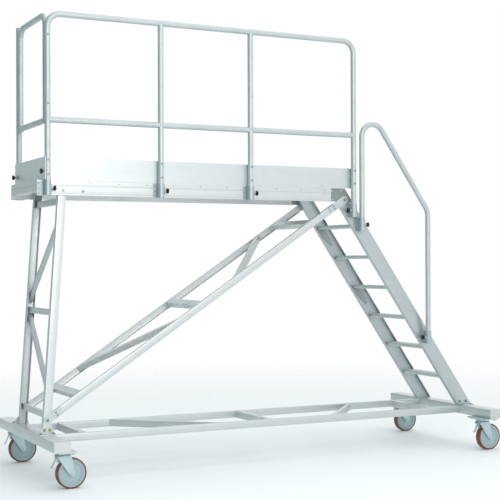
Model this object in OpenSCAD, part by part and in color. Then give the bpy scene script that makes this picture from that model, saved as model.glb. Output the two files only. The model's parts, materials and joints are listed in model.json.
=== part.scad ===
// Mobile aluminium work platform with a one-sided stepladder, on four braked castors.
// X runs along the platform (the ladder is at +X), +Y is the side without a guard rail,
// Z is up and the floor is at z = 0. All sizes are in millimetres.

/* [Overall] */
// Height of the deck above the floor
platform_h = 2000; // [1760:10:2400]
// Length of the base over its two cross beams
base_len = 3536; // [3300:10:4300]
// Width of the frame over the outer faces of legs and braces
frame_w = 594; // [480:2:760]
// Height of the guard rail's centre line above the deck
rail_h = 1100; // [900:10:1300]

/* [Base] */
// Length of each cross beam
beam_len = 1364; // [1300:2:1700]
// Width of each cross beam
beam_w = 110; // [90:1:140]
// Height of each cross beam
beam_h = 68; // [50:1:82]
// Wall of the cross beams
beam_wall = 4; // [3:0.5:6]
// Thickness of the long rails
base_rail_t = 30; // [25:1:36]
// Height of the long rails and the bars between them
base_rail_h = 52; // [40:1:60]
// Distance from the middle bar of the base to the outer ones
base_bay = 1415; // [1150:5:1500]

/* [Castors] */
// Wheel diameter
wheel_d = 200; // [160:2:205]
// Width of the tyre
tyre_w = 50; // [40:1:54]
// Height from the floor to the top of the castor plate
castor_h = 240; // [236:1:280]
// Distance of the swivel axis from the end of the cross beam
castor_inset = 117; // [105:1:160]
// Distance of the swivel axis inboard of the beam's centre line
castor_offset = 40; // [20:1:45]
// Distance of the axle behind the swivel axis
trail = 52; // [40:1:56]

/* [Leg frame] */
// Width of the leg channel
leg_w = 55; // [45:1:70]
// Depth of the leg channel's flanges
leg_depth = 40; // [30:1:45]
// Lean of the legs from the vertical
leg_lean = 4; // [0:0.5:6]

/* [Braces] */
// Width of the long brace channel
brace_w = 50; // [40:1:56]
// Depth of the brace channel's flanges
brace_depth = 25; // [20:1:35]
// Height of the brace's foot bolt above the floor
brace_foot_z = 410; // [395:1:480]

/* [Ladder] */
// Slope of the ladder from the horizontal
stair_angle = 55.3; // [52:0.1:60]
// Depth of the stringers, square to the slope
stringer_w = 108; // [95:1:125]
// Height between two steps
step_pitch = 235; // [200:1:260]
// Drop from the deck to the top step
first_drop = 265; // [240:1:300]
// Depth of a step
step_depth = 94; // [80:1:98]
// Thickness of a step
step_t = 28; // [20:1:30]

/* [Platform] */
// Height of the side beams
side_h = 100; // [80:1:120]
// Pitch of the deck planks
plank_pitch = 202.5; // [180:0.5:230]
// Thickness of the deck planks
plank_h = 30; // [22:1:34]
// Height of the toe boards
toe_h = 150; // [100:5:180]

/* [Rails] */
// Diameter of the rail tubes
tube_d = 40; // [34:1:42]
// Wall of the rail tubes
tube_wall = 2; // [1.5:0.5:3]
// Bend radius of the guard rail
bend_r = 90; // [60:1:110]
// Distance from the first post to the second
post_gap_1 = 805; // [600:5:900]
// Distance from the second post to the third
post_gap_2 = 693; // [500:1:800]
// Height of the knee rail above the deck
knee_h = 397; // [300:1:500]
// Length of a post socket
socket_len = 98; // [80:1:110]
// Rise of the hand rail's top above the ladder head's deck level
handrail_rise = 508; // [400:1:600]

/* [Hidden] */
$fn = 48;
// Gap between parts that are assembled face to face round a curve
seat = 0.3;
// Radial clearance of pins and posts in their bores
fit = 0.05;
// Overlap of a straight tube over a bend, and how far the bend's wall lies inside it
lap = 3;
bend_inset = 0.4;

// Heights
castor_plate_t = 6;
mount_plate_t = 10;
beam_z0 = castor_h + mount_plate_t;
beam_z1 = beam_z0 + beam_h;
deck_z = platform_h;
ledge_t = 4;
ledge_z = deck_z - plank_h - ledge_t;

// Widths, all on the near side and mirrored for the far side
frame_y = frame_w / 2;
side_t = 14;
side_head_t = 20;
side_y = frame_y + side_t;
deck_y = side_y - side_head_t;
gusset_t = 6;
stringer_y = frame_y - gusset_t;
stringer_t = 4;
stringer_flange = 35;
base_rail_y = stringer_y + 1;
base_rail_in = base_rail_y - base_rail_t;
sheet_t = 3;

// Base along X
beam_x = (base_len - beam_w) / 2;
base_end = base_len / 2;
castor_x = beam_x - castor_offset;
castor_y = beam_len / 2 - castor_inset;
wheel_reach = castor_x + trail + wheel_d / 2;
x_shift = (base_end - wheel_reach) / 2;
bar_t = 3;
base_diag = [[-1036, -421], [979, 526]];

// Castor
fork_gap = tyre_w + 12;
fork_t = 5;
axle_r = 6;
axle_z = wheel_d / 2;
pin_r = 7;
race_r = 48;
crown_r = 54;
crown_z1 = castor_h - castor_plate_t - 12 - seat;
crown_t = 9;
crown_z0 = crown_z1 - crown_t;
tyre_depth = 16;
lever_pin = [-38, crown_z0 - 10];
lever_pin_r = 4;

// Ladder: stair_x(z) is the rear edge of the stringers at height z
stair_run = 1 / tan(stair_angle);
stringer_across = stringer_w / sin(stair_angle);
stair_foot = base_end - stringer_across + 7;
function stair_x(z) = stair_foot - (z - beam_z1) * stair_run;
function stair_mid(z) = stair_x(z) + stringer_across / 2;
stringer_top = ledge_z - 1;
step_count = floor((deck_z - first_drop - beam_z1 - step_t) / step_pitch) + 1;
function step_top(i) = deck_z - first_drop - i * step_pitch;
braced_steps = [0, 2];

// Platform along X
plat_x0 = -base_end;
plat_x1 = stair_x(deck_z);
end_beam_w = 68;
end_beam_h = 75;
plank_x0 = plat_x0 + end_beam_w + seat;
nosing_min = 60;
nosing_x1 = plat_x1 + stringer_across - 6;
plank_count = floor((nosing_x1 - nosing_min - plank_x0) / plank_pitch);
nosing_x0 = plank_x0 + plank_count * plank_pitch;

// Leg frame: leg_x(z) is the centre line of the legs
leg_foot_x = -beam_x + 13;
leg_t = 3;
leg_top = ledge_z - 3;
function leg_x(z) = leg_foot_x + (z - beam_z1) * tan(leg_lean);
leg_foot_w = 125;
leg_foot_h = 50;
foot_t = 5;
foot_flange = 55;
leg_len = (leg_top - beam_z1) / cos(leg_lean);
leg_bar_w = 42;
leg_bar_d = 26;
leg_bar_y = frame_y - leg_t;

// Long braces, from a bolt on the legs to a bolt on the ladder heads
brace_foot = [leg_x(brace_foot_z), brace_foot_z];
brace_head_z = deck_z - 85;
brace_head = [stair_mid(brace_head_z) - 1, brace_head_z];
brace_vec = brace_head - brace_foot;
brace_len = norm(brace_vec);
brace_angle = atan2(brace_vec[1], brace_vec[0]);
// The square end of a brace starts clear of the sloping edge of the leg
leg_to_brace = 90 - leg_lean - brace_angle;
brace_leg_gap = 3.7;
brace_start = brace_w / 2 / tan(leg_to_brace) + leg_w / 2 / sin(leg_to_brace) + brace_leg_gap;
brace_stop = brace_len - 92;
brace_t = 3;
brace_bar_w = 55;
brace_bar_d = 38;
brace_bar_y = frame_y - brace_depth;
brace_bars = [270, 1338, 2402];
brace_diags = [[525, 1112], [2220, 1690]];
brace_plate_t = 6;
brace_plate_lap = 60;

// Posts and sockets
tube_r = tube_d / 2;
socket_wall = 4;
socket_r = tube_r + fit + socket_wall;
socket_plate_t = 4;
socket_floor = 3;
post_y = side_y + 6 + socket_r;
post_x1 = plat_x0 + 65;
post_x2 = post_x1 + post_gap_1;
post_x3 = post_x2 + post_gap_2;
side_socket_z = deck_z - socket_len - 6;
head_socket_z = deck_z - 214;
post_x4 = stair_mid(head_socket_z + socket_len / 2);
hand_socket_z = deck_z - 319;
hand_x5 = stair_mid(hand_socket_z + socket_len / 2);
foot_socket_z = beam_z1 + 499;
hand_x6 = stair_mid(foot_socket_z + socket_len / 2);
rail_z = deck_z + rail_h;
knee_z = deck_z + knee_h;
boss_r = 11;
boss_len = 9;
screw_r = 5;
knob_r = 18;
knob_t = 18;
knob_gap = 5;

// Toe boards
toe_z0 = deck_z + 1;
toe_t = 3;
toe_lip = 12;
toe_bracket_w = 48;
hoop_y = post_y - tube_d - seat;
hoop_r = 80;
end_toe_x = post_x1 - tube_r - seat - toe_t;
end_knob_z = deck_z + 55;

// Hand rail
hand_r = 98;
hand_foot_r = 110;

// ---- Helpers ----

// Moves the whole model so that its origin is under the middle of its bounding box
module placed() { translate([x_shift, 0, 0]) children(); }

// The part and its mirror image on the far side
module both_sides() {
    children();
    mirror([0, 1, 0]) children();
}

// A plate seen from the side: an outline in X and Z, from y0 to y0 + t
module side_plate(y0, t) {
    translate([0, y0 + t, 0]) rotate([90, 0, 0]) linear_extrude(t) children();
}

// Channel along +X with its web on the -Y side and its flanges towards +Y
module channel(len, w, depth, t) {
    difference() {
        translate([0, 0, -w / 2]) cube([len, depth, w]);
        translate([-1, t, -w / 2 + t]) cube([len + 2, depth, w - 2 * t]);
    }
}

// Box tube along +Y
module box_tube_y(len, w, h, t) {
    difference() {
        translate([-w / 2, -len / 2, 0]) cube([w, len, h]);
        translate([-w / 2 + t, -len / 2 - 1, t]) cube([w - 2 * t, len + 2, h - 2 * t]);
    }
}

// Bar of a lattice in the XY plane, from p to q, open downwards, cut off at |y| = half
module lattice_bar(p, q, half, w, depth, t) {
    v = q - p;
    intersection() {
        translate([p[0], p[1], 0]) rotate([0, 0, atan2(v[1], v[0])])
            translate([-w, 0, 0]) difference() {
                translate([0, -w / 2, -depth]) cube([norm(v) + 2 * w, w, depth]);
                translate([-1, -w / 2 + t, -depth - 1])
                    cube([norm(v) + 2 * w + 2, w - 2 * t, depth + 1 - t]);
            }
        translate([min(p[0], q[0]) - 4 * w, -half, -depth - 1])
            cube([abs(v[0]) + 8 * w, 2 * half, depth + 2]);
    }
}

// Straight cross bars and sloping bars of one lattice
module lattice(bars, diags, half, bar_w, diag_w, depth, t) {
    for (s = bars) lattice_bar([s, -half], [s, half], half, bar_w, depth, t);
    for (d = diags) lattice_bar([d[0], half], [d[1], -half], half, diag_w, depth, t);
}

// Round tube along +Z, running on by lap at its start and end where a bend is welded to it
module pipe(len, lap = [0, 0]) {
    all = len + lap[0] + lap[1];
    translate([0, 0, -lap[0]]) difference() {
        cylinder(h = all, r = tube_r);
        translate([0, 0, -1]) cylinder(h = all + 2, r = tube_r - tube_wall);
    }
}

// Tube bend in the XZ plane, centred on the origin, from angle a0 to a1. Its wall lies
// a little inside the wall of the straight tubes that lap over its ends.
module bend(r, a0, a1) {
    rotate([90, 0, 0]) rotate_extrude(angle = a1 - a0, start = a0)
        translate([r, 0]) difference() {
            circle(r = tube_r - bend_inset);
            circle(r = tube_r - tube_wall + bend_inset);
        }
}

// Hexagon head bolt with a washer, seated on z = 0 and pointing up
module bolt_head(d) {
    washer = 0.15 * d;
    cylinder(h = washer, r = d * 1.05);
    translate([0, 0, washer]) cylinder(h = 0.62 * d, r = d * 0.92, $fn = 6);
}

// Turns a shape that points up so that it points to the near side
module facing_near() { rotate([90, 0, 0]) children(); }

// ---- Base ----

module base_beam(x) {
    translate([x, 0, beam_z0]) {
        box_tube_y(beam_len - 2 * beam_wall, beam_w, beam_h, beam_wall);
        both_sides() translate([-beam_w / 2, beam_len / 2 - beam_wall, 0])
            cube([beam_w, beam_wall, beam_h]);
    }
}

module base_beam_left() { color("silver") placed() base_beam(-beam_x); }

module base_beam_right() { color("silver") placed() base_beam(beam_x); }

base_rail_z = beam_z0 + (beam_h - base_rail_h) / 2;

module base_rails() {
    len = base_len - 2 * beam_w;
    color("silver") placed() both_sides()
        translate([-len / 2, -base_rail_y, base_rail_z]) difference() {
            cube([len, base_rail_t, base_rail_h]);
            translate([-1, bar_t, bar_t])
                cube([len + 2, base_rail_t - 2 * bar_t, base_rail_h - 2 * bar_t]);
        }
}

module base_bars() {
    color("silver") placed() translate([0, 0, base_rail_z + base_rail_h - 1])
        lattice([-base_bay, 0, base_bay] - [15, 15, 15], base_diag,
                base_rail_in, 42, 30, base_rail_h - 2, bar_t);
}

module at_castors() {
    for (sx = [-1, 1], sy = [-1, 1]) translate([sx * castor_x, sy * castor_y, 0]) children();
}

mount_w = 120;
mount_len = 220;

module castor_mount_plates() {
    color("gainsboro") placed() at_castors()
        translate([-mount_w / 2, -mount_len / 2, castor_h])
            cube([mount_w, mount_len, mount_plate_t]);
}

module castor_top_plates() {
    color("lightgray") placed() at_castors() difference() {
        union() {
            translate([-52, -66, castor_h - castor_plate_t]) cube([104, 132, castor_plate_t]);
            translate([0, 0, crown_z1 + seat]) cylinder(h = 12, r = race_r);
        }
        translate([0, 0, crown_z1 - 1]) cylinder(h = 16, r = pin_r + fit);
    }
}

// ---- Castors, each drawn with its swivel axis on the Z axis ----

function tangent(c, r, p, side) =
    let (v = p - c, a = atan2(v[1], v[0]) + side * acos(r / norm(v)))
    c + r * [cos(a), sin(a)];

module fork_cheek() {
    axle = [trail, axle_z];
    top = crown_z0 + 1;
    eye_r = 21;
    polygon([[-50, top], [48, top], tangent(axle, eye_r, [48, top], -1),
             axle, tangent(axle, eye_r, [-50, top], 1)]);
    translate(axle) circle(r = eye_r);
}

module fork() {
    difference() {
        union() {
            translate([0, 0, crown_z0]) cylinder(h = crown_t, r = crown_r);
            both_sides() difference() {
                side_plate(-fork_gap / 2 - fork_t, fork_t) fork_cheek();
                translate([trail, 0, axle_z]) rotate([90, 0, 0])
                    cylinder(h = fork_gap, r = axle_r + fit);
            }
            translate([lever_pin[0], fork_gap / 2 + fork_t, lever_pin[1]])
                rotate([90, 0, 0]) cylinder(h = fork_gap + 2 * fork_t, r = lever_pin_r);
        }
        translate([0, 0, crown_z0 - 1]) cylinder(h = crown_t + 2, r = pin_r + fit);
    }
    // Kingpin with its head under the crown
    translate([0, 0, crown_z0 - 7]) cylinder(h = 7, r = 11, $fn = 6);
    translate([0, 0, crown_z0 - 1]) cylinder(h = crown_t + 12, r = pin_r);
    // Axle bolt with a head at each end
    end = fork_gap / 2 + fork_t;
    translate([trail, end + 1, axle_z]) rotate([90, 0, 0]) cylinder(h = 2 * end + 2, r = axle_r);
    both_sides() translate([trail, end, axle_z]) rotate([-90, 0, 0])
        cylinder(h = 8, r = 11, $fn = 6);
}

// Wheel parts turn about the Y axis through the axle
module at_axle() { translate([trail, 0, axle_z]) rotate([90, 0, 0]) children(); }

module tyre() {
    r1 = wheel_d / 2;
    r0 = r1 - tyre_depth;
    edge = 6;
    h = tyre_w / 2;
    at_axle() rotate_extrude() {
        polygon([[r0, -h], [r1 - edge, -h], [r1 - edge, h], [r0, h]]);
        translate([r1 - edge - 0.5, edge - h]) square([edge + 0.5, tyre_w - 2 * edge]);
        for (s = [-1, 1]) translate([r1 - edge, s * (h - edge)]) circle(r = edge);
    }
}

module hub() {
    rim = wheel_d / 2 - tyre_depth;
    boss = fork_gap / 2 - seat;
    h = tyre_w / 2 - 3;
    at_axle() rotate_extrude()
        polygon([[axle_r + fit, -boss], [20, -boss], [24, -h + 5], [rim - 14, -h + 9],
                 [rim - 8, -h], [rim, -h], [rim, h], [rim - 8, h], [rim - 14, h - 9],
                 [24, h - 5], [20, boss], [axle_r + fit, boss]]);
}

module brake() {
    strip = 3;
    half = 15;
    knee = [-76, 137];
    toe = [-88, 142];
    head = lever_pin + [-8, -1];
    difference() {
        union() {
            translate([lever_pin[0], half, lever_pin[1]]) rotate([90, 0, 0])
                cylinder(h = 2 * half, r = 8);
            side_plate(1 - half, 2 * half - 2) polygon([
                lever_pin, head + [-strip, -2], knee + [-1.5, 2.5], toe + [-1, strip],
                toe + [-2, 0], knee + [-1, -strip], knee + [2, -1], head + [2, -5]]);
            side_plate(4 - half, 2 * half - 8) polygon([
                lever_pin, lever_pin + [16, -30], lever_pin + [8.3, -36],
                lever_pin + [-3, -30]]);
        }
        translate([lever_pin[0], half + 1, lever_pin[1]]) rotate([90, 0, 0])
            cylinder(h = 2 * half + 2, r = lever_pin_r + fit);
    }
}

module at_castor(sx, sy) { placed() translate([sx * castor_x, sy * castor_y, 0]) children(); }

module fork_nl() { color("lightgray") at_castor(-1, -1) fork(); }
module fork_fl() { color("lightgray") at_castor(-1, 1) fork(); }
module fork_nr() { color("lightgray") at_castor(1, -1) fork(); }
module fork_fr() { color("lightgray") at_castor(1, 1) fork(); }
module tyre_nl() { color("brown") at_castor(-1, -1) tyre(); }
module tyre_fl() { color("brown") at_castor(-1, 1) tyre(); }
module tyre_nr() { color("brown") at_castor(1, -1) tyre(); }
module tyre_fr() { color("brown") at_castor(1, 1) tyre(); }
module hub_nl() { color("lightsteelblue") at_castor(-1, -1) hub(); }
module hub_fl() { color("lightsteelblue") at_castor(-1, 1) hub(); }
module hub_nr() { color("lightsteelblue") at_castor(1, -1) hub(); }
module hub_fr() { color("lightsteelblue") at_castor(1, 1) hub(); }
module brake_nl() { color("gray") at_castor(-1, -1) brake(); }
module brake_fl() { color("gray") at_castor(-1, 1) brake(); }
module brake_nr() { color("gray") at_castor(1, -1) brake(); }
module brake_fr() { color("gray") at_castor(1, 1) brake(); }

// ---- Leg frame ----

// Local frame of the leg lattice: X up along the legs, Z to the outside of the platform
module on_leg_axis() {
    translate([leg_foot_x, 0, beam_z1]) rotate([0, -(90 - leg_lean), 0]) children();
}

module leg() {
    intersection() {
        translate([0, -frame_y, 0]) on_leg_axis() translate([-leg_w, 0, 0])
            channel(leg_len + 2 * leg_w, leg_w, leg_depth, leg_t);
        translate([leg_foot_x - 4 * leg_w, -frame_y - 1, beam_z1])
            cube([leg_len / 2 + 8 * leg_w, leg_depth + 2, leg_top - beam_z1]);
    }
}

module leg_near() { color("silver") placed() leg(); }

module leg_far() { color("silver") placed() mirror([0, 1, 0]) leg(); }

// Distance along the leg for a height above the floor
function up_leg(z) = (z - beam_z1) / cos(leg_lean);
leg_bar_z = [beam_z1 + 124, beam_z1 + 802, deck_z - 139];

module leg_bars() {
    diags = [[up_leg(leg_bar_z[1] - 29), up_leg(leg_bar_z[0] + 136)],
             [up_leg(leg_bar_z[1] + 69), up_leg(leg_bar_z[2] - 111)]];
    color("silver") placed() on_leg_axis() translate([0, 0, leg_bar_d / 2])
        lattice([for (z = leg_bar_z) up_leg(z)], diags,
                leg_bar_y, leg_bar_w, leg_bar_w - 6, leg_bar_d, bar_t);
}

module leg_feet() {
    c = leg_x(beam_z1);
    color("gainsboro") placed() both_sides() {
        side_plate(-frame_y - foot_t, foot_t) polygon([
            [c - leg_foot_w / 2, beam_z1], [c + leg_foot_w / 2 - 10, beam_z1],
            [c + leg_w / 2 + 8, beam_z1 + leg_foot_h], [c - leg_w / 2, beam_z1 + leg_foot_h]]);
        translate([c - leg_foot_w / 2, -frame_y - foot_t - foot_flange, beam_z1])
            cube([leg_foot_w - 10, foot_flange + 1, foot_t]);
    }
}

// ---- Long braces ----

// Local frame of the braces: X along them from the foot bolt, Z square to them and up
module on_brace_axis() {
    translate([brace_foot[0], 0, brace_foot[1]]) rotate([0, -brace_angle, 0]) children();
}

module brace() {
    on_brace_axis() translate([brace_start, -frame_y, 0])
        channel(brace_stop - brace_start, brace_w, brace_depth, brace_t);
}

module brace_near() { color("silver") placed() brace(); }

module brace_far() { color("silver") placed() mirror([0, 1, 0]) brace(); }

module brace_bars_set() {
    color("silver") placed() on_brace_axis() translate([0, 0, brace_w / 2])
        lattice(brace_bars, brace_diags, brace_bar_y, brace_bar_w, 40, brace_bar_d, bar_t);
}

// Flat end plates that carry each brace on its two bolts
module brace_end_fittings() {
    r = brace_w / 2;
    head_r = 30;
    color("lightgray") placed() both_sides() on_brace_axis() {
        side_plate(-frame_y - brace_plate_t, brace_plate_t) {
            circle(r = r);
            translate([0, -r]) square([brace_start + brace_plate_lap, brace_w]);
        }
        side_plate(-frame_y - brace_plate_t, brace_plate_t) {
            translate([brace_len, 0]) circle(r = head_r);
            translate([brace_stop - brace_plate_lap, -r])
                square([brace_len - brace_stop + brace_plate_lap, brace_w]);
            polygon([[brace_stop + 14, r], [brace_stop + 34, head_r], [brace_len, head_r],
                     [brace_len, -head_r], [brace_stop + 34, -head_r], [brace_stop + 14, -r]]);
        }
    }
}

// ---- Ladder ----

// Outline of a stringer between two heights
function stringer_outline(z0, z1, inset) = [
    [stair_x(z0) + inset, z0], [stair_x(z0) + stringer_across - inset, z0],
    [stair_x(z1) + stringer_across - inset, z1], [stair_x(z1) + inset, z1]];

module stringer() {
    flange = stringer_t / sin(stair_angle);
    difference() {
        side_plate(-stringer_y, stringer_flange)
            polygon(stringer_outline(beam_z1, stringer_top, 0));
        side_plate(-stringer_y + stringer_t, stringer_flange)
            polygon(stringer_outline(beam_z1 - 1, stringer_top + 1, flange));
    }
}

module stringer_near() { color("silver") placed() stringer(); }

module stringer_far() { color("silver") placed() mirror([0, 1, 0]) stringer(); }

// Hollow plank along Y with its top at z = 0, from x = 0 to w
module plank(w, h, half, cells) {
    wall = 2.5;
    cell = (w - wall) / cells;
    difference() {
        translate([0, -half, -h]) cube([w, 2 * half, h]);
        for (i = [0:cells - 1]) translate([wall + i * cell, -half - 1, wall - h])
            cube([cell - wall, 2 * half + 2, h - 2 * wall]);
    }
}

function step_x(z) = stair_mid(z - step_t / 2) - step_depth / 2;

module steps() {
    color("silver") placed() for (i = [0:step_count - 1])
        translate([step_x(step_top(i)), 0, step_top(i)])
            plank(step_depth, step_t, stringer_y - stringer_t, 3);
}

// Stays under some of the steps, on the inside of the stringers
module step_brackets() {
    drop = 120;
    color("lightgray") placed() both_sides() for (i = braced_steps) {
        z = step_top(i) - step_t;
        x = step_x(step_top(i));
        foot = [stair_mid(z - drop), z - drop];
        side_plate(-stringer_y + stringer_t, 4) polygon([
            [x, z], [x + step_depth - 4, z], foot + [18, 0], foot + [0, -12], foot + [-14, 0]]);
        translate([x, -stringer_y + stringer_t, z - 3]) cube([step_depth - 4, 24, 3]);
    }
}

module stringer_feet() {
    h = 56;
    flange = [116, 50, foot_t];
    color("gainsboro") placed() both_sides() {
        side_plate(-stringer_y - foot_t, foot_t)
            polygon(stringer_outline(beam_z1, beam_z1 + h, 3));
        translate([base_end - flange[0], -stringer_y - flange[1], beam_z1]) cube(flange);
    }
}

// Dark plates: two tie the side beams to the ladder heads, two sit in the tops of the legs
module gusset_plates() {
    z0 = deck_z - 98;
    gap = 0.5;
    leg_z = deck_z - 86;
    color("dimgray") placed() both_sides() {
        side_plate(-frame_y, gusset_t) polygon([
            [plat_x1 + gap, z0], [stair_x(z0) + stringer_across - 2, z0],
            [stair_x(deck_z) + stringer_across - 2, deck_z], [plat_x1 + gap, deck_z]]);
        translate([leg_x(leg_z) - leg_w / 2 + leg_t + 2, leg_t - frame_y, leg_z - 28])
            cube([leg_w - 2 * leg_t - 4, leg_depth - leg_t - 2, 56]);
    }
}

// ---- Platform ----

module side_beam() {
    wall = 2.5;
    z0 = deck_z - side_h;
    y = -side_y;
    len = plat_x1 - plat_x0;
    translate([plat_x0, 0, 0]) {
        rotate([90, 0, 90]) linear_extrude(len) difference() {
            polygon([[y, z0], [-frame_y, z0], [-frame_y, ledge_z], [-deck_y, ledge_z],
                     [-deck_y, deck_z], [y, deck_z]]);
            translate([y + wall, z0 + wall])
                square([side_t - 2 * wall, ledge_z - z0 - wall]);
            translate([y + wall, ledge_z + wall])
                square([side_head_t - 2 * wall, plank_h + ledge_t - 2 * wall]);
        }
        translate([end_beam_w, -deck_y - 1, ledge_z])
            cube([len - end_beam_w, 30, ledge_t]);
    }
}

module side_beam_near() { color("gainsboro") placed() side_beam(); }

module side_beam_far() { color("gainsboro") placed() mirror([0, 1, 0]) side_beam(); }

module end_beam() {
    groove = 5;
    color("silver") placed() translate([plat_x0, 0, deck_z]) difference() {
        plank(end_beam_w, end_beam_h, deck_y, 2);
        translate([-1, -deck_y - 1, -38]) cube([groove / 2 + 0.5, 2 * deck_y + 2, groove]);
    }
}

module deck_planks() {
    color("lightgray") placed() {
        for (i = [0:plank_count - 1]) translate([plank_x0 + i * plank_pitch, 0, deck_z])
            plank(plank_pitch - 0.5, plank_h, deck_y, 4);
        translate([nosing_x0, 0, deck_z]) plank(nosing_x1 - nosing_x0, plank_h, deck_y, 2);
    }
}

// ---- Sockets and clamping screws ----

// Socket for one post: x of the post, z of its bottom, side of the screw (0 for none), back
// of its plate, and how far its plate reaches to the left
module socket(x, z, side, back, wing) {
    boss = [x + side * socket_r, z + socket_len / 2];
    translate([x, -post_y, z]) difference() {
        union() {
            cylinder(h = socket_len, r = socket_r);
            translate([-17, 0, 0]) cube([34, post_y - side_y - socket_plate_t / 2, socket_len]);
            if (side != 0) translate([0, 0, socket_len / 2]) rotate([0, side * 90, 0])
                cylinder(h = socket_r + boss_len, r = boss_r);
        }
        translate([0, 0, socket_floor]) cylinder(h = socket_len, r = tube_r + fit);
        if (side != 0) translate([0, 0, socket_len / 2]) rotate([0, side * 90, 0])
            cylinder(h = socket_r + boss_len + 1, r = screw_r + fit);
    }
    translate([x - wing, -side_y - socket_plate_t, z]) cube([wing + 30, socket_plate_t, socket_len]);
    if (back < side_y) translate([x - 28, -side_y, z + 8])
        cube([56, side_y - back, socket_len - 16]);
}

module rail_sockets() {
    color("gainsboro") placed() {
        socket(post_x1, side_socket_z, 1, side_y, 65);
        mirror([0, 1, 0]) socket(post_x1, side_socket_z, 0, side_y, 65);
        socket(post_x2, side_socket_z, 1, side_y, 45);
        socket(post_x3, side_socket_z, 1, side_y, 45);
        socket(post_x4, head_socket_z, -1, stringer_y, 30);
        socket(hand_x5, hand_socket_z, 1, stringer_y, 30);
        socket(hand_x6, foot_socket_z, -1, stringer_y, 30);
    }
}

// Screw with a star knob along +Z: its tip is at z = 0 and its head starts at z = reach
module star_screw(reach) {
    cylinder(h = reach + 1, r = screw_r);
    translate([0, 0, reach]) linear_extrude(knob_t) {
        circle(r = 0.7 * knob_r);
        for (i = [0:4]) rotate(72 * i) translate([0.62 * knob_r, 0]) circle(r = 0.38 * knob_r);
    }
}

socket_reach = socket_r - tube_r + boss_len + knob_gap;

module socket_knob(x, z, side) {
    color("black") placed() translate([x + side * (tube_r + seat), -post_y, z + socket_len / 2])
        rotate([0, side * 90, 0]) star_screw(socket_reach);
}

module end_knob(sy) {
    color("black") placed()
        translate([post_x1 - tube_r - seat, sy * post_y, end_knob_z])
            rotate([0, -90, 0]) star_screw(toe_t + knob_gap + 3);
}

module knob_1() { socket_knob(post_x1, side_socket_z, 1); }
module knob_2() { socket_knob(post_x2, side_socket_z, 1); }
module knob_3() { socket_knob(post_x3, side_socket_z, 1); }
module knob_4() { socket_knob(post_x4, head_socket_z, -1); }
module knob_5() { socket_knob(hand_x5, hand_socket_z, 1); }
module knob_6() { socket_knob(hand_x6, foot_socket_z, -1); }
module knob_7() { end_knob(1); }
module knob_8() { end_knob(-1); }

// ---- Guard rail ----

module guard_top_rail() {
    z1 = side_socket_z + socket_floor;
    z4 = head_socket_z + socket_floor;
    top = rail_z - bend_r;
    color("silver") placed() translate([0, -post_y, 0]) {
        translate([post_x1, 0, z1]) pipe(top - z1, [0, lap]);
        translate([post_x1 + bend_r, 0, top]) bend(bend_r, 90, 180);
        translate([post_x1 + bend_r, 0, rail_z]) rotate([0, 90, 0])
            pipe(post_x4 - post_x1 - 2 * bend_r, [lap, lap]);
        translate([post_x4 - bend_r, 0, top]) bend(bend_r, 0, 90);
        translate([post_x4, 0, z4]) pipe(top - z4, [0, lap]);
    }
}

module guard_posts() {
    z0 = side_socket_z + socket_floor;
    color("silver") placed() for (x = [post_x2, post_x3])
        translate([x, -post_y, 0]) difference() {
            translate([0, 0, z0]) pipe(rail_z - z0);
            translate([-tube_d, 0, rail_z]) rotate([0, 90, 0])
                cylinder(h = 2 * tube_d, r = tube_r + fit);
        }
}

module knee_rails() {
    posts = [post_x1, post_x2, post_x3, post_x4];
    color("silver") placed() for (i = [0:2]) difference() {
        translate([posts[i], -post_y, knee_z]) rotate([0, 90, 0]) pipe(posts[i + 1] - posts[i]);
        for (x = [posts[i], posts[i + 1]]) translate([x, -post_y, knee_z - tube_d])
            cylinder(h = 2 * tube_d, r = tube_r + fit);
    }
}

module corner_post() {
    z0 = side_socket_z + socket_floor;
    color("silver") placed() translate([post_x1, post_y, z0]) {
        pipe(rail_z + tube_r - z0);
        translate([0, 0, rail_z + tube_r - z0 - 3]) cylinder(h = 3, r = tube_r);
    }
}

module end_hoop() {
    top = rail_z - hoop_r;
    foot = knee_z - tube_r;
    color("silver") placed() translate([post_x1, 0, 0]) {
        rotate([0, 0, 90]) {
            for (s = [-1, 1]) translate([s * hoop_y, 0, foot]) pipe(top - foot, [0, lap]);
            translate([hoop_y - hoop_r, 0, top]) bend(hoop_r, 0, 90);
            translate([hoop_r - hoop_y, 0, top]) bend(hoop_r, 90, 180);
            translate([hoop_r - hoop_y, 0, rail_z]) rotate([0, 90, 0])
                pipe(2 * (hoop_y - hoop_r), [lap, lap]);
            difference() {
                translate([-hoop_y, 0, knee_z]) rotate([0, 90, 0]) pipe(2 * hoop_y);
                for (s = [-1, 1]) translate([s * hoop_y, 0, foot - 1])
                    cylinder(h = tube_d + 2, r = tube_r - tube_wall / 2);
            }
        }
    }
}

// Toe board with a folded top edge, from x = 0 to len, its outer face on y = 0
module toe_board(len) {
    cube([len, toe_t, toe_h]);
    translate([0, 0, toe_h - toe_t]) cube([len, toe_lip, toe_t]);
}

module toe_boards() {
    ends = [end_toe_x + toe_t + toe_lip + 1, post_x2, post_x3, post_x4 - 6];
    color("gainsboro") placed() for (i = [0:2])
        translate([ends[i] + 1, -side_y, toe_z0]) toe_board(ends[i + 1] - ends[i] - 2);
}

module toe_board_end() {
    half = post_y + tube_r + 3;
    color("silver") placed() difference() {
        translate([end_toe_x, half, toe_z0]) rotate([0, 0, -90]) difference() {
            toe_board(2 * half);
            for (x = [0, 2 * half - 50]) translate([x - 1, toe_t, toe_h - toe_t - 1])
                cube([52, toe_lip, toe_t + 2]);
        }
        both_sides() translate([end_toe_x - 1, post_y, end_knob_z]) rotate([0, 90, 0])
            cylinder(h = toe_t + 2, r = screw_r + 0.2);
    }
}

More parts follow.
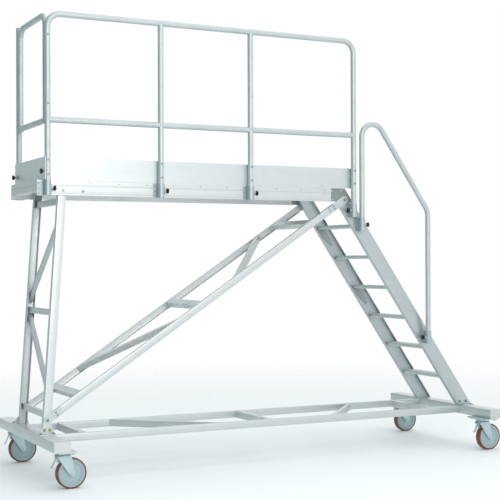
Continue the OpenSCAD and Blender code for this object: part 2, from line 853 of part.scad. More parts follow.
module toe_brackets() {
    depth = post_y - tube_r - side_y - seat;
    color("lightgray") placed() for (x = [post_x1, post_x2, post_x3, post_x4 - 12])
        translate([x - toe_bracket_w / 2 + (x == post_x1 ? 6 : 0), -side_y - depth, toe_z0])
            cube([toe_bracket_w, depth, toe_h - 4]);
}

module guard_bolts() {
    z = [toe_z0 + 35, toe_z0 + toe_h - 20];
    hoop_z = [deck_z + 502, deck_z + 957];
    color("gray") placed() {
        for (x = [post_x1, post_x2, post_x3, post_x4], dz = z)
            translate([x, -post_y - tube_r - seat, dz]) facing_near() bolt_head(7);
        for (dz = hoop_z) translate([post_x1, -post_y - tube_r - seat, dz])
            facing_near() bolt_head(7);
    }
}

// ---- Hand rail of the ladder ----

module handrail() {
    a = 90 - stair_angle;
    z5 = hand_socket_z + socket_floor;
    z6 = foot_socket_z + socket_floor;
    c = [hand_x5 + hand_r, deck_z + handrail_rise - tube_r - hand_r];
    p = c + hand_r * [cos(a), sin(a)];
    knee = p[1] - (hand_x6 - p[0]) * tan(stair_angle);
    arm = hand_foot_r * tan(a / 2);
    slope = norm([hand_x6 - p[0], knee - p[1]]) - arm;
    color("silver") placed() translate([0, -post_y, 0]) {
        translate([hand_x5, 0, z5]) pipe(c[1] - z5, [0, lap]);
        translate([c[0], 0, c[1]]) bend(hand_r, a, 180);
        translate([p[0], 0, p[1]]) rotate([0, 180 - a, 0]) pipe(slope, [lap, lap]);
        translate([hand_x6 - hand_foot_r, 0, knee - arm]) bend(hand_foot_r, 0, a);
        translate([hand_x6, 0, z6]) pipe(knee - arm - z6, [0, lap]);
    }
}

// ---- Bolts of the frame ----

module near_bolts(y, points, d) {
    for (p = points) translate([p[0], -y, p[1]]) facing_near() bolt_head(d);
}

module frame_bolts() {
    foot_x = leg_x(beam_z1);
    plate_y = frame_y + brace_plate_t;
    beam_bolt_z = deck_z - 66;
    rivets = [for (i = [0:plank_count - 1]) plank_x0 + (i + 0.5) * plank_pitch];
    color("gray") placed() {
        both_sides() {
            // Leg feet
            near_bolts(frame_y + foot_t, [[foot_x - 16, beam_z1 + 28], [foot_x + 20, beam_z1 + 28]], 10);
            for (dx = [-46, 38]) translate([foot_x + dx, -frame_y - 32, beam_z1 + foot_t])
                bolt_head(10);
            // Brace ends
            near_bolts(plate_y, [brace_foot, brace_head], 10);
            on_brace_axis() near_bolts(plate_y, [[brace_start + 16, 10], [brace_start + 16, -10],
                [brace_stop - 16, 10], [brace_stop - 16, -10]], 6);
            // Stringer feet
            near_bolts(stringer_y + foot_t, [[stair_mid(beam_z1 + 30) - 28, beam_z1 + 28],
                [stair_mid(beam_z1 + 30) + 30, beam_z1 + 28]], 10);
            for (dx = [22, 96]) translate([base_end - dx, -stringer_y - 32, beam_z1 + foot_t])
                bolt_head(8);
            // Gussets
            near_bolts(frame_y, [[plat_x1 + 16, deck_z - 20], [plat_x1 + 94, deck_z - 16],
                [plat_x1 + 20, deck_z - 84]], 6);
            // Leg heads
            near_bolts(side_y, [[leg_x(beam_bolt_z), beam_bolt_z],
                [leg_x(beam_bolt_z) + 140, beam_bolt_z - 4]], 8);
            // Plank rivets, clear of the sockets
            near_bolts(side_y, [for (x = rivets)
                if (abs(x - post_x1) > 75 && abs(x - post_x2) > 55 && abs(x - post_x3) > 55)
                [x, deck_z - 17]], 3.5);
            // First socket on each side
            near_bolts(side_y + socket_plate_t, [for (k = [-1, 0, 1])
                [post_x1 - 54, side_socket_z + socket_len / 2 + 33 * k]], 5);
        }
        for (x = [post_x2, post_x3]) near_bolts(side_y + socket_plate_t,
            [for (k = [-1, 0, 1]) [x - 36, side_socket_z + socket_len / 2 + 33 * k]], 5);
        // Castor plates
        at_castors() for (sx = [-1, 1], sy = [-1, 1])
            translate([sx * 40, sy * 90, castor_h]) mirror([0, 0, 1]) bolt_head(9);
    }
}

base_beam_left();
base_beam_right();
base_rails();
base_bars();
castor_mount_plates();
castor_top_plates();
leg_near();
leg_far();
leg_bars();
leg_feet();
brace_near();
brace_far();
brace_bars_set();
brace_end_fittings();
stringer_near();
stringer_far();
steps();
step_brackets();
stringer_feet();
gusset_plates();
side_beam_near();
side_beam_far();
end_beam();
deck_planks();
rail_sockets();
frame_bolts();
guard_top_rail();
guard_posts();
knee_rails();
corner_post();
end_hoop();
toe_boards();
toe_board_end();
toe_brackets();
guard_bolts();
handrail();
fork_nl();
fork_fl();
fork_nr();
fork_fr();
tyre_nl();
tyre_fl();
tyre_nr();
tyre_fr();
hub_nl();
hub_fl();
hub_nr();
hub_fr();
brake_nl();
brake_fl();
brake_nr();
brake_fr();
knob_1();
knob_2();
knob_3();
knob_4();
knob_5();
knob_6();
knob_7();
knob_8();
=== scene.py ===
"""A mobile aluminium work platform: a ladder, a plank deck with toe boards and a guard rail, and a long
base on four braked castors. Lengths are in metres, X runs along the deck towards the ladder, the guarded
side is at -Y and the floor is at z = 0."""

import json
import math

import bpy
import numpy as np
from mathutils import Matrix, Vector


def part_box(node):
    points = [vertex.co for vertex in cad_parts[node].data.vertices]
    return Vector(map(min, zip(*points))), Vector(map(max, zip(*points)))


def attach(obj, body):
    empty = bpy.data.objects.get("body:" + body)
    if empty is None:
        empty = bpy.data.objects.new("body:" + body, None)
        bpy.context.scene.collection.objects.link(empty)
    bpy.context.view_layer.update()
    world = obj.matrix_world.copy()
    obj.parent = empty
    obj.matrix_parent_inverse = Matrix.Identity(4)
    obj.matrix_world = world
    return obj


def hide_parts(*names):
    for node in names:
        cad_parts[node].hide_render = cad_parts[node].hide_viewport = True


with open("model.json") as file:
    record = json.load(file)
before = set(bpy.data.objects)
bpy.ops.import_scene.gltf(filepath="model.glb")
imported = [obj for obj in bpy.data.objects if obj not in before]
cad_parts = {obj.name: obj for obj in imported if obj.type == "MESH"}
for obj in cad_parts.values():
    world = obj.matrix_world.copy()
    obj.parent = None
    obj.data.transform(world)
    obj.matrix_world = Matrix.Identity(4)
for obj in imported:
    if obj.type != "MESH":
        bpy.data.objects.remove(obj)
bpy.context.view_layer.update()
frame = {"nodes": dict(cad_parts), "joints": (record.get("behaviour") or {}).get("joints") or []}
nodes = frame["nodes"]


def show(thing):
    """Puts an object into the scene."""
    bpy.context.scene.collection.objects.link(thing)


def corners_of(node):
    """Lowest and highest corner of a node, as two arrays."""
    low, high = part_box(node)
    return np.array(low), np.array(high)


# ---- Camera, floor and light ----
# A long lens stands well back on the guarded side, to the left of the platform and at chest height.
# The floor is a pale disc that fades out towards its rim, lit by one broad soft light from the left and
# one from above.
EYE = (-4.014, -7.8476, 1.4576)
EYE_TURN = (math.pi / 2 + 0.0079, 0.0035, -0.4680)
LENS = 84.53
lens = bpy.data.cameras.new("camera")
lens.lens = LENS
lens.sensor_width = 36
lens.shift_x = -0.0054
lens.shift_y = 0.0038
lens.clip_end = 200
camera = bpy.data.objects.new("camera", lens)
camera.location = EYE
camera.rotation_mode = "XYZ"
camera.rotation_euler = EYE_TURN
show(camera)
bpy.context.scene.camera = camera

bpy.context.scene.view_settings.view_transform = "Standard"

FLOOR_RADIUS = 12.0
FLOOR_RINGS, FLOOR_SIDES = 8, 64
FLOOR_SOLID, FLOOR_GONE = 1.5, 9.0
SKY_DIM = (0.21, 0.34, 0.345)
SKY_BRIGHT = (1.04, 1.06, 1.065)
SKY_SEEN = (1.0, 1.0, 1.0)
DIM_UP_TO, BRIGHT_FROM = -1.0, 0.30


class Wire:
    """One value inside a finish. Arithmetic on it adds Math nodes."""

    def __init__(self, finish, socket):
        self.finish = finish
        self.socket = socket

    def math(self, operation, a, b=0.0):
        return self.finish.node("ShaderNodeMath", {"operation": operation}, {0: a, 1: b})

    def __add__(self, other):
        return self.math("ADD", self, other)

    def __sub__(self, other):
        return self.math("SUBTRACT", self, other)

    def __mul__(self, other):
        return self.math("MULTIPLY", self, other)

    def __truediv__(self, other):
        return self.math("DIVIDE", self, other)

    def __rsub__(self, other):
        return self.math("SUBTRACT", other, self)

    __radd__ = __add__
    __rmul__ = __mul__

    def between(self, low, high):
        """0 below low, 1 above high, and a smooth step from one to the other."""
        smooth = {"interpolation_type": "SMOOTHSTEP"}
        return self.finish.node("ShaderNodeMapRange", smooth, {0: self, 1: low, 2: high})


class Finish:
    """A material, with its shader and the place of each point on the object."""

    def __init__(self, name, metallic=0.0, roughness=0.5, coat=0.0):
        self.material = bpy.data.materials.new(name)
        self.material.use_nodes = True
        self.tree = self.material.node_tree
        self.shader = self.tree.nodes["Principled BSDF"]
        self.shader.inputs["Metallic"].default_value = metallic
        self.shader.inputs["Roughness"].default_value = roughness
        self.shader.inputs["Coat Weight"].default_value = coat
        self.place = self.node("ShaderNodeTexCoord", {}, {}, "Object")

    def node(self, kind, settings, sockets, result=0):
        """Adds one node: its settings first, then the values or links of its sockets."""
        made = self.tree.nodes.new(kind)
        for key, value in settings.items():
            setattr(made, key, value)
        for key, value in sockets.items():
            if isinstance(value, Wire):
                self.tree.links.new(value.socket, made.inputs[key])
            else:
                made.inputs[key].default_value = value
        return Wire(self, made.outputs[result])

    def turned(self, turn=(0, 0, 0), stretch=(1, 1, 1)):
        """The place of each point, stretched along the object's own axes and then turned."""
        sockets = {"Vector": self.place, "Rotation": turn, "Scale": stretch}
        return self.node("ShaderNodeMapping", {"vector_type": "POINT"}, sockets)

    def noise(self, scale, detail=3.0, at=None, distortion=0.0):
        sockets = {"Vector": at or self.place, "Scale": scale, "Detail": detail, "Distortion": distortion}
        return self.node("ShaderNodeTexNoise", {}, sockets, "Fac")

    def mixed(self, amount, low, high):
        """A colour between low and high."""
        sockets = {0: amount, 6: as_colour(low), 7: as_colour(high)}
        return self.node("ShaderNodeMix", {"data_type": "RGBA"}, sockets, 2)

    def out(self, name, value):
        if isinstance(value, Wire):
            self.tree.links.new(value.socket, self.shader.inputs[name])
        else:
            self.shader.inputs[name].default_value = value

    def bumped(self, height, depth):
        """A bump of that depth in metres."""
        return self.node("ShaderNodeBump", {}, {"Height": height, "Strength": 1.0, "Distance": depth})


def as_colour(value):
    return value if isinstance(value, Wire) else (*value, 1.0)


def floor_disc():
    """Points and faces of a disc. The radius of its rings grows with the square of their number, and each
    point lies at r (cos a, sin a)."""
    rings = FLOOR_RADIUS * np.linspace(0.02, 1, FLOOR_RINGS) ** 2
    turn = np.linspace(0, 2 * np.pi, FLOOR_SIDES, endpoint=False)
    points = rings[:, None, None] * np.stack([np.cos(turn), np.sin(turn), 0 * turn], -1)
    cell = np.arange(FLOOR_RINGS * FLOOR_SIDES).reshape(FLOOR_RINGS, FLOOR_SIDES)
    inner, outer = cell[:-1], cell[1:]
    faces = np.stack([inner, outer, np.roll(outer, -1, 1), np.roll(inner, -1, 1)], -1)
    return points.reshape(-1, 3).tolist(), [cell[0].tolist(), *faces.reshape(-1, 4).tolist()]


studio = Finish("studio_floor", roughness=0.7)
from_centre = studio.node("ShaderNodeVectorMath", {"operation": "LENGTH"}, {0: studio.place}, "Value")
studio.out("Alpha", 1 - from_centre.between(FLOOR_SOLID, FLOOR_GONE))
studio.out("Base Color", studio.mixed(studio.noise(0.7, 2.0), (0.90, 0.93, 0.935), (0.93, 0.95, 0.95)))
floor_mesh = bpy.data.meshes.new("studio_floor")
floor_points, floor_faces = floor_disc()
floor_mesh.from_pydata(floor_points, [], floor_faces)
floor_mesh.materials.append(studio.material)
floor = bpy.data.objects.new("studio_floor", floor_mesh)
show(floor)

# The studio walls are dimmest to the left of the platform and brighten smoothly to the right. The
# camera itself sees plain white behind the platform.
world = bpy.data.worlds.new("studio")
world.use_nodes = True
sky = world.node_tree
toward = sky.nodes.new("ShaderNodeTexCoord").outputs["Generated"]
split = sky.nodes.new("ShaderNodeSeparateXYZ")
sky.links.new(toward, split.inputs[0])
rise = sky.nodes.new("ShaderNodeMapRange")
rise.interpolation_type = "SMOOTHSTEP"
rise.inputs["From Min"].default_value = DIM_UP_TO
rise.inputs["From Max"].default_value = BRIGHT_FROM
sky.links.new(split.outputs["X"], rise.inputs["Value"])
blend = sky.nodes.new("ShaderNodeMix")
blend.data_type = "RGBA"
blend.inputs[6].default_value = (*SKY_DIM, 1)
blend.inputs[7].default_value = (*SKY_BRIGHT, 1)
sky.links.new(rise.outputs[0], blend.inputs[0])
seen = sky.nodes.new("ShaderNodeMix")
seen.data_type = "RGBA"
seen.inputs[7].default_value = (*SKY_SEEN, 1)
sky.links.new(sky.nodes.new("ShaderNodeLightPath").outputs["Is Camera Ray"], seen.inputs[0])
sky.links.new(blend.outputs[2], seen.inputs[6])
sky.links.new(seen.outputs[2], sky.nodes["Background"].inputs["Color"])
bpy.context.scene.world = world


def soft_light(name, place, aim, size, power):
    """A rectangular light of that many watts, turned from its place to face the point aim."""
    light = bpy.data.lights.new(name, "AREA")
    light.shape = "RECTANGLE"
    light.size, light.size_y = size
    light.energy = power
    lamp = bpy.data.objects.new(name, light)
    lamp.location = place
    back = np.array(place) - np.array(aim)
    turn = math.atan2(back[0], -back[1])
    tilt = math.atan2(math.hypot(back[0], back[1]), back[2])
    lamp.rotation_euler = (tilt, 0, turn)
    show(lamp)


soft_light("front_softbox", (-1.9, -7.0, 3.4), (-0.3, 0, 1.7), (4.0, 3.0), 195)
soft_light("top_softbox", (0.6, -1.0, 7.0), (0, 0, 1.0), (6.0, 5.0), 60)


# ---- Bare aluminium ----
# Nearly every member is a bare aluminium extrusion with fine die lines. Its dull oxide skin varies a
# little in colour, with faint smudges where it has been handled.
PALE_ALUMINIUM = (0.665, 0.69, 0.69)
DULL_ALUMINIUM = (0.51, 0.545, 0.55)
SMUDGE = (0.38, 0.42, 0.43)
LINE_ACROSS = 140.0
LINE_ALONG = 2.5


def aluminium(name, turn, pale=PALE_ALUMINIUM, dull=DULL_ALUMINIUM, rough=0.40, lines=1.0, metallic=0.82):
    """Mottle, smudges and specks of the oxide skin, with die lines and broader streaks. The stretch comes
    before the turn, so the lines run along X at any turn, which only shows another part of the noise."""
    finish = Finish(name, metallic=metallic, roughness=rough)
    along = finish.turned(turn, (LINE_ALONG, LINE_ACROSS, LINE_ACROSS))
    die = finish.noise(1.0, 2.0, along)
    streak = finish.noise(1.0, 3.0, finish.turned(turn, (1.2, 30.0, 30.0)))
    mottle = finish.noise(5.0, 5.0, distortion=0.6)
    smudge = finish.noise(2.6, 6.0, distortion=1.4).between(0.60, 0.74)
    speck = finish.noise(110.0, 2.0).between(0.62, 0.75)
    skin = finish.mixed(mottle * 0.45 + streak * 0.45, pale, dull)
    skin = finish.mixed(smudge * 0.22, skin, SMUDGE)
    finish.out("Base Color", finish.mixed(speck * 0.10, skin, SMUDGE))
    finish.out("Roughness", rough - 0.09 + 0.12 * mottle + 0.08 * die + 0.10 * smudge)
    finish.out("Normal", finish.bumped(die * lines + streak * (0.6 * lines), 0.00004))
    return finish


along_x = aluminium("aluminium_along_x", (0, 0, 0))
along_y = aluminium("aluminium_along_y", (0, 0, math.pi / 2))


def wear(node, finish, broken_edge=0.0009):
    """Puts a finish on every material slot of a CAD node, and takes the sharpness off its edges."""
    mesh = nodes[node].data
    mesh.materials.clear()
    mesh.materials.append(finish.material)
    if broken_edge:
        nodes[node].modifiers.new("join", "WELD").merge_threshold = 1e-5
        edge = nodes[node].modifiers.new("broken_edge", "BEVEL")
        edge.width = broken_edge
        edge.segments = 2
        edge.limit_method = "ANGLE"
        edge.angle_limit = math.radians(40)


# ---- Extruded members ----
# Beams, rails, legs, braces and stringers are sawn from extruded lengths with small rounded corners.
# Each is one profile carried along a straight line, and its ends are cut level where it meets the next.
CORNER = 0.0016
ARC_STEPS = 4


def rounded(corners, radius=CORNER, steps=ARC_STEPS):
    """A closed outline whose corners are arcs tangent to both sides: a corner turning by t starts
    radius * tan(t / 2) before it."""
    points = np.asarray(corners, float)
    radius = np.broadcast_to(radius, len(points))
    before = np.roll(points, 1, 0) - points
    after = np.roll(points, -1, 0) - points
    before /= np.linalg.norm(before, axis=1, keepdims=True)
    after /= np.linalg.norm(after, axis=1, keepdims=True)
    half = 0.5 * np.arccos(np.clip((before * after).sum(1), -1, 1))
    reach = (radius / np.tan(half))[:, None]
    middle = before + after
    middle *= (radius / np.sin(half))[:, None] / np.linalg.norm(middle, axis=1, keepdims=True)
    start, end = before * reach - middle, after * reach - middle
    part = np.linspace(0, 1, steps)[None, :, None]
    swing = (np.pi - 2 * half)[:, None, None]
    arc = (np.sin((1 - part) * swing) * start[:, None] + np.sin(part * swing) * end[:, None]) / np.sin(swing)
    return (points[:, None] + middle[:, None] + arc).reshape(-1, 2)


def rectangle(left, right, low, high):
    return [(left, low), (right, low), (right, high), (left, high)]


def quads(rows, columns, close=False):
    """Faces of a grid of points, row by row, closed round the columns where asked."""
    cell = np.arange(rows * columns).reshape(rows, columns)
    if close:
        cell = np.concatenate([cell, cell[:, :1]], 1)
    faces = np.stack([cell[:-1, :-1], cell[:-1, 1:], cell[1:, 1:], cell[1:, :-1]], -1)
    return faces.reshape(-1, 4).tolist()


def facing_out(points, faces):
    """A shell with its faces turned over if its signed volume, the sum of a . (b x c) / 6 over the
    triangles that fan out from the first corner of each face, is negative."""
    volume = 0.0
    for size in {len(face) for face in faces}:
        corners = points[np.array([face for face in faces if len(face) == size])]
        volume += (corners[:, :1] * np.cross(corners[:, 1:-1], corners[:, 2:])).sum()
    return (points, [face[::-1] for face in faces]) if volume < 0 else (points, faces)


def skin(grid):
    """A shell over a grid of points: closed round its columns, with one flat face over each end row."""
    rows, columns = grid.shape[:2]
    faces = quads(rows, columns, True)
    faces += [list(range(columns))[::-1], list(range((rows - 1) * columns, rows * columns))]
    return facing_out(grid.reshape(-1, 3), faces)


def extrusion(outline, start, end, across, deep, cut=None):
    """A profile carried from start to end. Each profile point (u, v) goes to u * across + v * deep, and
    then along the line until it lies in the end's cutting plane, whose normal is cut."""
    outline, start, end = (np.asarray(v, float) for v in (outline, start, end))
    run = (end - start) / np.linalg.norm(end - start)
    cut = run if cut is None else cut
    flat = outline[:, :1] * across + outline[:, 1:] * deep
    skewed = flat - ((flat @ cut) / (run @ cut))[:, None] * run
    return skin(np.stack([start + skewed, end + skewed]))


def other_side(shell):
    """The mirror image of a shell in the plane y = 0."""
    points, faces = shell
    return points * [1, -1, 1], [f[::-1] for f in faces]


def piece(name, shells, body, finish, replaces=(), smooth=35):
    """Joins shells into one object that rides on a body. Edges sharper than smooth degrees stay sharp."""
    points, faces, first = [], [], 0
    for shell_points, shell_faces in shells:
        points.append(shell_points)
        faces += [[i + first for i in face] for face in shell_faces]
        first += len(shell_points)
    mesh = bpy.data.meshes.new(name)
    mesh.from_pydata(np.concatenate(points).tolist(), [], faces)
    mesh.polygons.foreach_set("use_smooth", np.ones(len(mesh.polygons), bool))
    mesh.materials.append(finish.material)
    made = bpy.data.objects.new(name, mesh)
    show(made)
    mesh.set_sharp_from_angle(angle=math.radians(smooth))
    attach(made, body)
    if replaces:
        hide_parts(*replaces)


def both_sides(name, shells, finish, node):
    """A member of the frame on the near side, and its mirror image on the far side."""
    piece(name + "_near", shells, "frame", finish, [node + "_near"])
    far = [other_side(shell) for shell in shells]
    piece(name + "_far", far, "frame", finish, [node + "_far"])


X, Y, Z = np.eye(3)

# Cross beams of the base: closed box extrusions along Y. The plate over each end stands in a little
# from the faces, behind a fine joint.
BEAM_ROUND = 0.004
END_PLATE = 0.0025
END_INSET = 0.0006
END_JOINT = 0.0004
for side in ("left", "right"):
    low, high = corners_of("base_beam_" + side)
    middle, half = (low + high) / 2, (high - low) / 2
    ends = [low[1], low[1] + END_PLATE, high[1] - END_PLATE, high[1]]
    shells = []
    for k in range(3):
        gap, inset = (END_JOINT, 0) if k == 1 else (0, END_INSET)
        wide, tall = half[0] - inset, half[2] - inset
        outline = rounded(rectangle(-wide, wide, -tall, tall), BEAM_ROUND)
        start, end = (middle[0], ends[k] + gap, middle[2]), (middle[0], ends[k + 1] - gap, middle[2])
        shells.append(extrusion(outline, start, end, X, Z))
    piece("cross_beam_" + side, shells, "frame", along_y, ["base_beam_" + side])

# Long rails of the base: box extrusions along X between the cross beams.
RAIL_THICK = 0.030
RAIL_ROUND = 0.003
low, high = corners_of("base_rails")
rail_outline = rounded(rectangle(-RAIL_THICK / 2, RAIL_THICK / 2, low[2] - high[2], 0), RAIL_ROUND)
middle_y = low[1] + RAIL_THICK / 2
near_rail = extrusion(rail_outline, (low[0], middle_y, high[2]), (high[0], middle_y, high[2]), Y, Z)
piece("long_rails", [near_rail, other_side(near_rail)], "frame", along_x, ["base_rails"])

CHANNEL_INSIDE = 0.003
CHANNEL_LIP = 0.0008


def channel_outline(width, depth, wall, inside=CHANNEL_INSIDE):
    """A channel on its side: its web on v = 0, its flanges towards +v, rounded inside and out."""
    w = width / 2
    corners = [(-w, 0), (w, 0), (w, depth), (w - wall, depth), (w - wall, wall), (-w + wall, wall)]
    corners += [(-w + wall, depth), (-w, depth)]
    lip = [CHANNEL_LIP, CHANNEL_LIP]
    return rounded(corners, [CORNER, CORNER, *lip, inside, inside, *lip])


# Legs: channels that lean towards the ladder, sawn level at the base and under the deck.
LEG_WIDTH = 0.055
LEG_DEPTH = 0.040
LEG_WALL = 0.003
LEG_LEAN = math.radians(4)
low, high = corners_of("leg_near")
half = LEG_WIDTH / 2 / math.cos(LEG_LEAN)
leg_foot = np.array([low[0] + half, low[1], low[2]])
leg_head = np.array([high[0] - half, low[1], high[2]])
leg_run = (leg_head - leg_foot) / np.linalg.norm(leg_head - leg_foot)
leg_across = np.array([leg_run[2], 0, -leg_run[0]])
near_leg = extrusion(channel_outline(LEG_WIDTH, LEG_DEPTH, LEG_WALL), leg_foot, leg_head, leg_across, Y, Z)
along_legs = aluminium("aluminium_along_legs", (0, math.pi / 2 - LEG_LEAN, 0))
both_sides("leg_channel", [near_leg], along_legs, "leg")

# Long braces: channels from the foot of the legs up to the heads of the ladder, sawn square. Their slope
# is tried again from its last value until it no longer changes.
BRACE_WIDTH = 0.050
BRACE_DEPTH = 0.025
BRACE_GUESS = math.radians(33)
BRACE_TRIES = 8
low, high = corners_of("brace_near")
brace_slope = BRACE_GUESS
for _ in range(BRACE_TRIES):
    climb = high[2] - low[2] - BRACE_WIDTH * math.cos(brace_slope)
    brace_slope = math.atan2(climb, high[0] - low[0] - BRACE_WIDTH * math.sin(brace_slope))
brace_run = np.array([math.cos(brace_slope), 0, math.sin(brace_slope)])
brace_across = np.array([-brace_run[2], 0, brace_run[0]])
inward = BRACE_WIDTH / 2 * np.array([brace_run[2], 0, brace_run[0]])
brace_foot, brace_head = low + inward, np.array([high[0], low[1], high[2]]) - inward
brace_outline = channel_outline(BRACE_WIDTH, BRACE_DEPTH, LEG_WALL)
near_brace = extrusion(brace_outline, brace_foot, brace_head, brace_across, Y)
along_braces = aluminium("aluminium_along_braces", (0, brace_slope, 0))
both_sides("brace_channel", [near_brace], along_braces, "brace")

# Stringers of the ladder: deep channels, open to the inside, sawn level at both ends.
STRINGER_WIDTH = 0.108
STRINGER_DEPTH = 0.035
STRINGER_WALL = 0.004
STRINGER_INSIDE = 0.004
LADDER_SLOPE = math.radians(55.3)
# The stringers take darker copies of the aluminium colours: painted shade for the weaker light on their faces.
STRINGER_SHADED_PALE = (0.52, 0.57, 0.58)
STRINGER_SHADED_DULL = (0.42, 0.47, 0.48)
low, high = corners_of("stringer_near")
half = STRINGER_WIDTH / 2 / math.sin(LADDER_SLOPE)
stringer_foot = np.array([high[0] - half, low[1], low[2]])
stringer_head = np.array([low[0] + half, low[1], high[2]])
stringer_across = np.array([math.sin(LADDER_SLOPE), 0, math.cos(LADDER_SLOPE)])
stringer_outline = channel_outline(STRINGER_WIDTH, STRINGER_DEPTH, STRINGER_WALL, STRINGER_INSIDE)
near_stringer = extrusion(stringer_outline, stringer_foot, stringer_head, stringer_across, Y, Z)
along_stringers = aluminium("aluminium_along_stringers_in_painted_shade", (0, -LADDER_SLOPE, 0), STRINGER_SHADED_PALE, STRINGER_SHADED_DULL)
both_sides("stringer_channel", [near_stringer], along_stringers, "stringer")

# Lattice bars keep their CAD shapes and their sharp edges.
for node in ("base_bars", "leg_bars", "brace_bars_set"):
    wear(node, along_y, 0)


# ---- Steps and deck ----
# Steps and planks are hollow extrusions with sharp ribs on top for grip. The nose of each step is
# rounded, and the planks lie side by side across the deck with a fine joint between them.
RIB_PITCH = 0.0078
RIB_HEIGHT = 0.0016
RIB_MARGIN = 0.006
GROOVE_SHARES = (0.25, 0.35, 0.65, 0.75)
STEP_NOSE = 0.0045
PLANK_NOSE = 0.0015


def ribbed_outline(width, height, nose):
    """A rectangle with its top at v = 0, cut by grooves as deep as a rib is high. Each starts, bottoms,
    rises and ends at the shares of a pitch given above."""
    count = int((width - 2 * RIB_MARGIN) / RIB_PITCH)
    start = (width - count * RIB_PITCH) / 2
    across = start + np.add.outer(np.arange(count), GROOVE_SHARES) * RIB_PITCH
    down = np.broadcast_to(np.array([0, -RIB_HEIGHT, -RIB_HEIGHT, 0]), across.shape)
    groove = np.stack([across, down], -1).reshape(-1, 2)
    low_part, top_right, top_left = np.split(
        rounded(rectangle(0, width, -height, 0), nose), [2 * ARC_STEPS, 3 * ARC_STEPS]
    )
    return np.concatenate([low_part, top_right, groove[::-1], top_left])


tread = aluminium("aluminium_tread", (0, 0, math.pi / 2), (0.67, 0.71, 0.71), (0.54, 0.58, 0.58), 0.46)


def solids(node):
    """The separate solids of a CAD node, each as its own array of points. Triangles that share a corner
    belong together, and a label is passed round them until none changes."""
    mesh = nodes[node].data
    points = np.empty(len(mesh.vertices) * 3)
    mesh.vertices.foreach_get("co", points)
    points = points.reshape(-1, 3)
    mesh.calc_loop_triangles()
    tris = np.empty(len(mesh.loop_triangles) * 3, int)
    mesh.loop_triangles.foreach_get("vertices", tris)
    _, same = np.unique(np.round(points * 1e5).astype(int), axis=0, return_inverse=True)
    tris = same.reshape(-1)[tris].reshape(-1, 3)
    label = np.arange(tris.max() + 1)
    while True:
        lowest = label[tris].min(1)
        new = label.copy()
        for k in range(3):
            np.minimum.at(new, tris[:, k], lowest)
        new = new[new]
        if (new == label).all():
            break
        label = new
    owner = label[same.reshape(-1)]
    return [points[owner == k] for k in np.unique(owner)]


for node, name, nose in (("steps", "ribbed_steps", STEP_NOSE), ("deck_planks", "ribbed_planks", PLANK_NOSE)):
    shells = []
    for points in solids(node):
        low, high = points.min(0), points.max(0)
        outline = ribbed_outline(high[0] - low[0], high[2] - low[2], nose)
        shells.append(extrusion(outline, (low[0], low[1], high[2]), (low[0], high[1], high[2]), X, Z))
    piece(name, shells, "frame", tread, [node])


# ---- Side and end beams of the platform ----
# The side beams are hollow, with a wider head over the planks and two shallow grooves along the face.
# The end beam closes the deck at the left, and one groove runs along its face.
SIDE_HEAD = 0.020
SIDE_BODY = 0.014
LEDGE_DROP = 0.034
LEDGE_REACH = 0.049
LEDGE_THICK = 0.004
GROOVE_DEPTH = 0.0012
SIDE_GROOVES = (0.036, 0.088)
END_BEAM_WIDTH = 0.068
END_GROOVE_DEPTH = 0.003
END_GROOVE = 0.033
BEAM_CORNER = 0.0004
END_CORNER = 0.0005
FINE_STEPS = 3
low, high = corners_of("side_beam_near")
side_height = high[2] - low[2]


def side_outline(ledge):
    """Seen from the end with v down from the deck: the grooved face, then the head and the ledge."""
    face = [(0, 0)]
    for drop in SIDE_GROOVES:
        bottom = [(GROOVE_DEPTH, -drop - 0.001), (GROOVE_DEPTH, -drop - 0.0025)]
        face += [(0, -drop), *bottom, (0, -drop - 0.0035)]
    face += [(0, -side_height), (SIDE_BODY, -side_height), (SIDE_BODY, -LEDGE_DROP)]
    if ledge:
        ledge_top = LEDGE_THICK - LEDGE_DROP
        face += [(LEDGE_REACH, -LEDGE_DROP), (LEDGE_REACH, ledge_top), (SIDE_HEAD, ledge_top)]
    else:
        face += [(SIDE_HEAD, -LEDGE_DROP)]
    return rounded([*face, (SIDE_HEAD, 0)], BEAM_CORNER, FINE_STEPS)


top = np.array([low[0], low[1], high[2]])
part_end = top + [END_BEAM_WIDTH, 0, 0]
near_side = [
    extrusion(side_outline(False), top, part_end, Y, Z),
    extrusion(side_outline(True), part_end, (high[0], low[1], high[2]), Y, Z),
]
both_sides("side_beam_profile", near_side, along_x, "side_beam")

low, high = corners_of("end_beam")
end_height = high[2] - low[2]
face = [(0, -end_height), (END_BEAM_WIDTH, -end_height), (END_BEAM_WIDTH, 0), (0, 0), (0, -END_GROOVE)]
face += [(END_GROOVE_DEPTH, -END_GROOVE - 0.001), (END_GROOVE_DEPTH, -END_GROOVE - 0.004)]
end_outline = rounded([*face, (0, -END_GROOVE - 0.005)], END_CORNER, FINE_STEPS)
end_shell = extrusion(end_outline, (low[0], low[1], high[2]), (low[0], high[1], high[2]), X, Z)
piece("end_beam_profile", [end_shell], "frame", along_y, ["end_beam"])

# ---- Rail tubes ----
# Guard rail, posts, end hoop and hand rail are drawn round tubes, cold bent, and plugged where they
# end in the open.
TUBE_RADIUS = 0.020
TUBE_SIDES = 40
BEND_STEP = math.radians(4)
INTO_TUBE = 0.004
NEAR = 1e-4


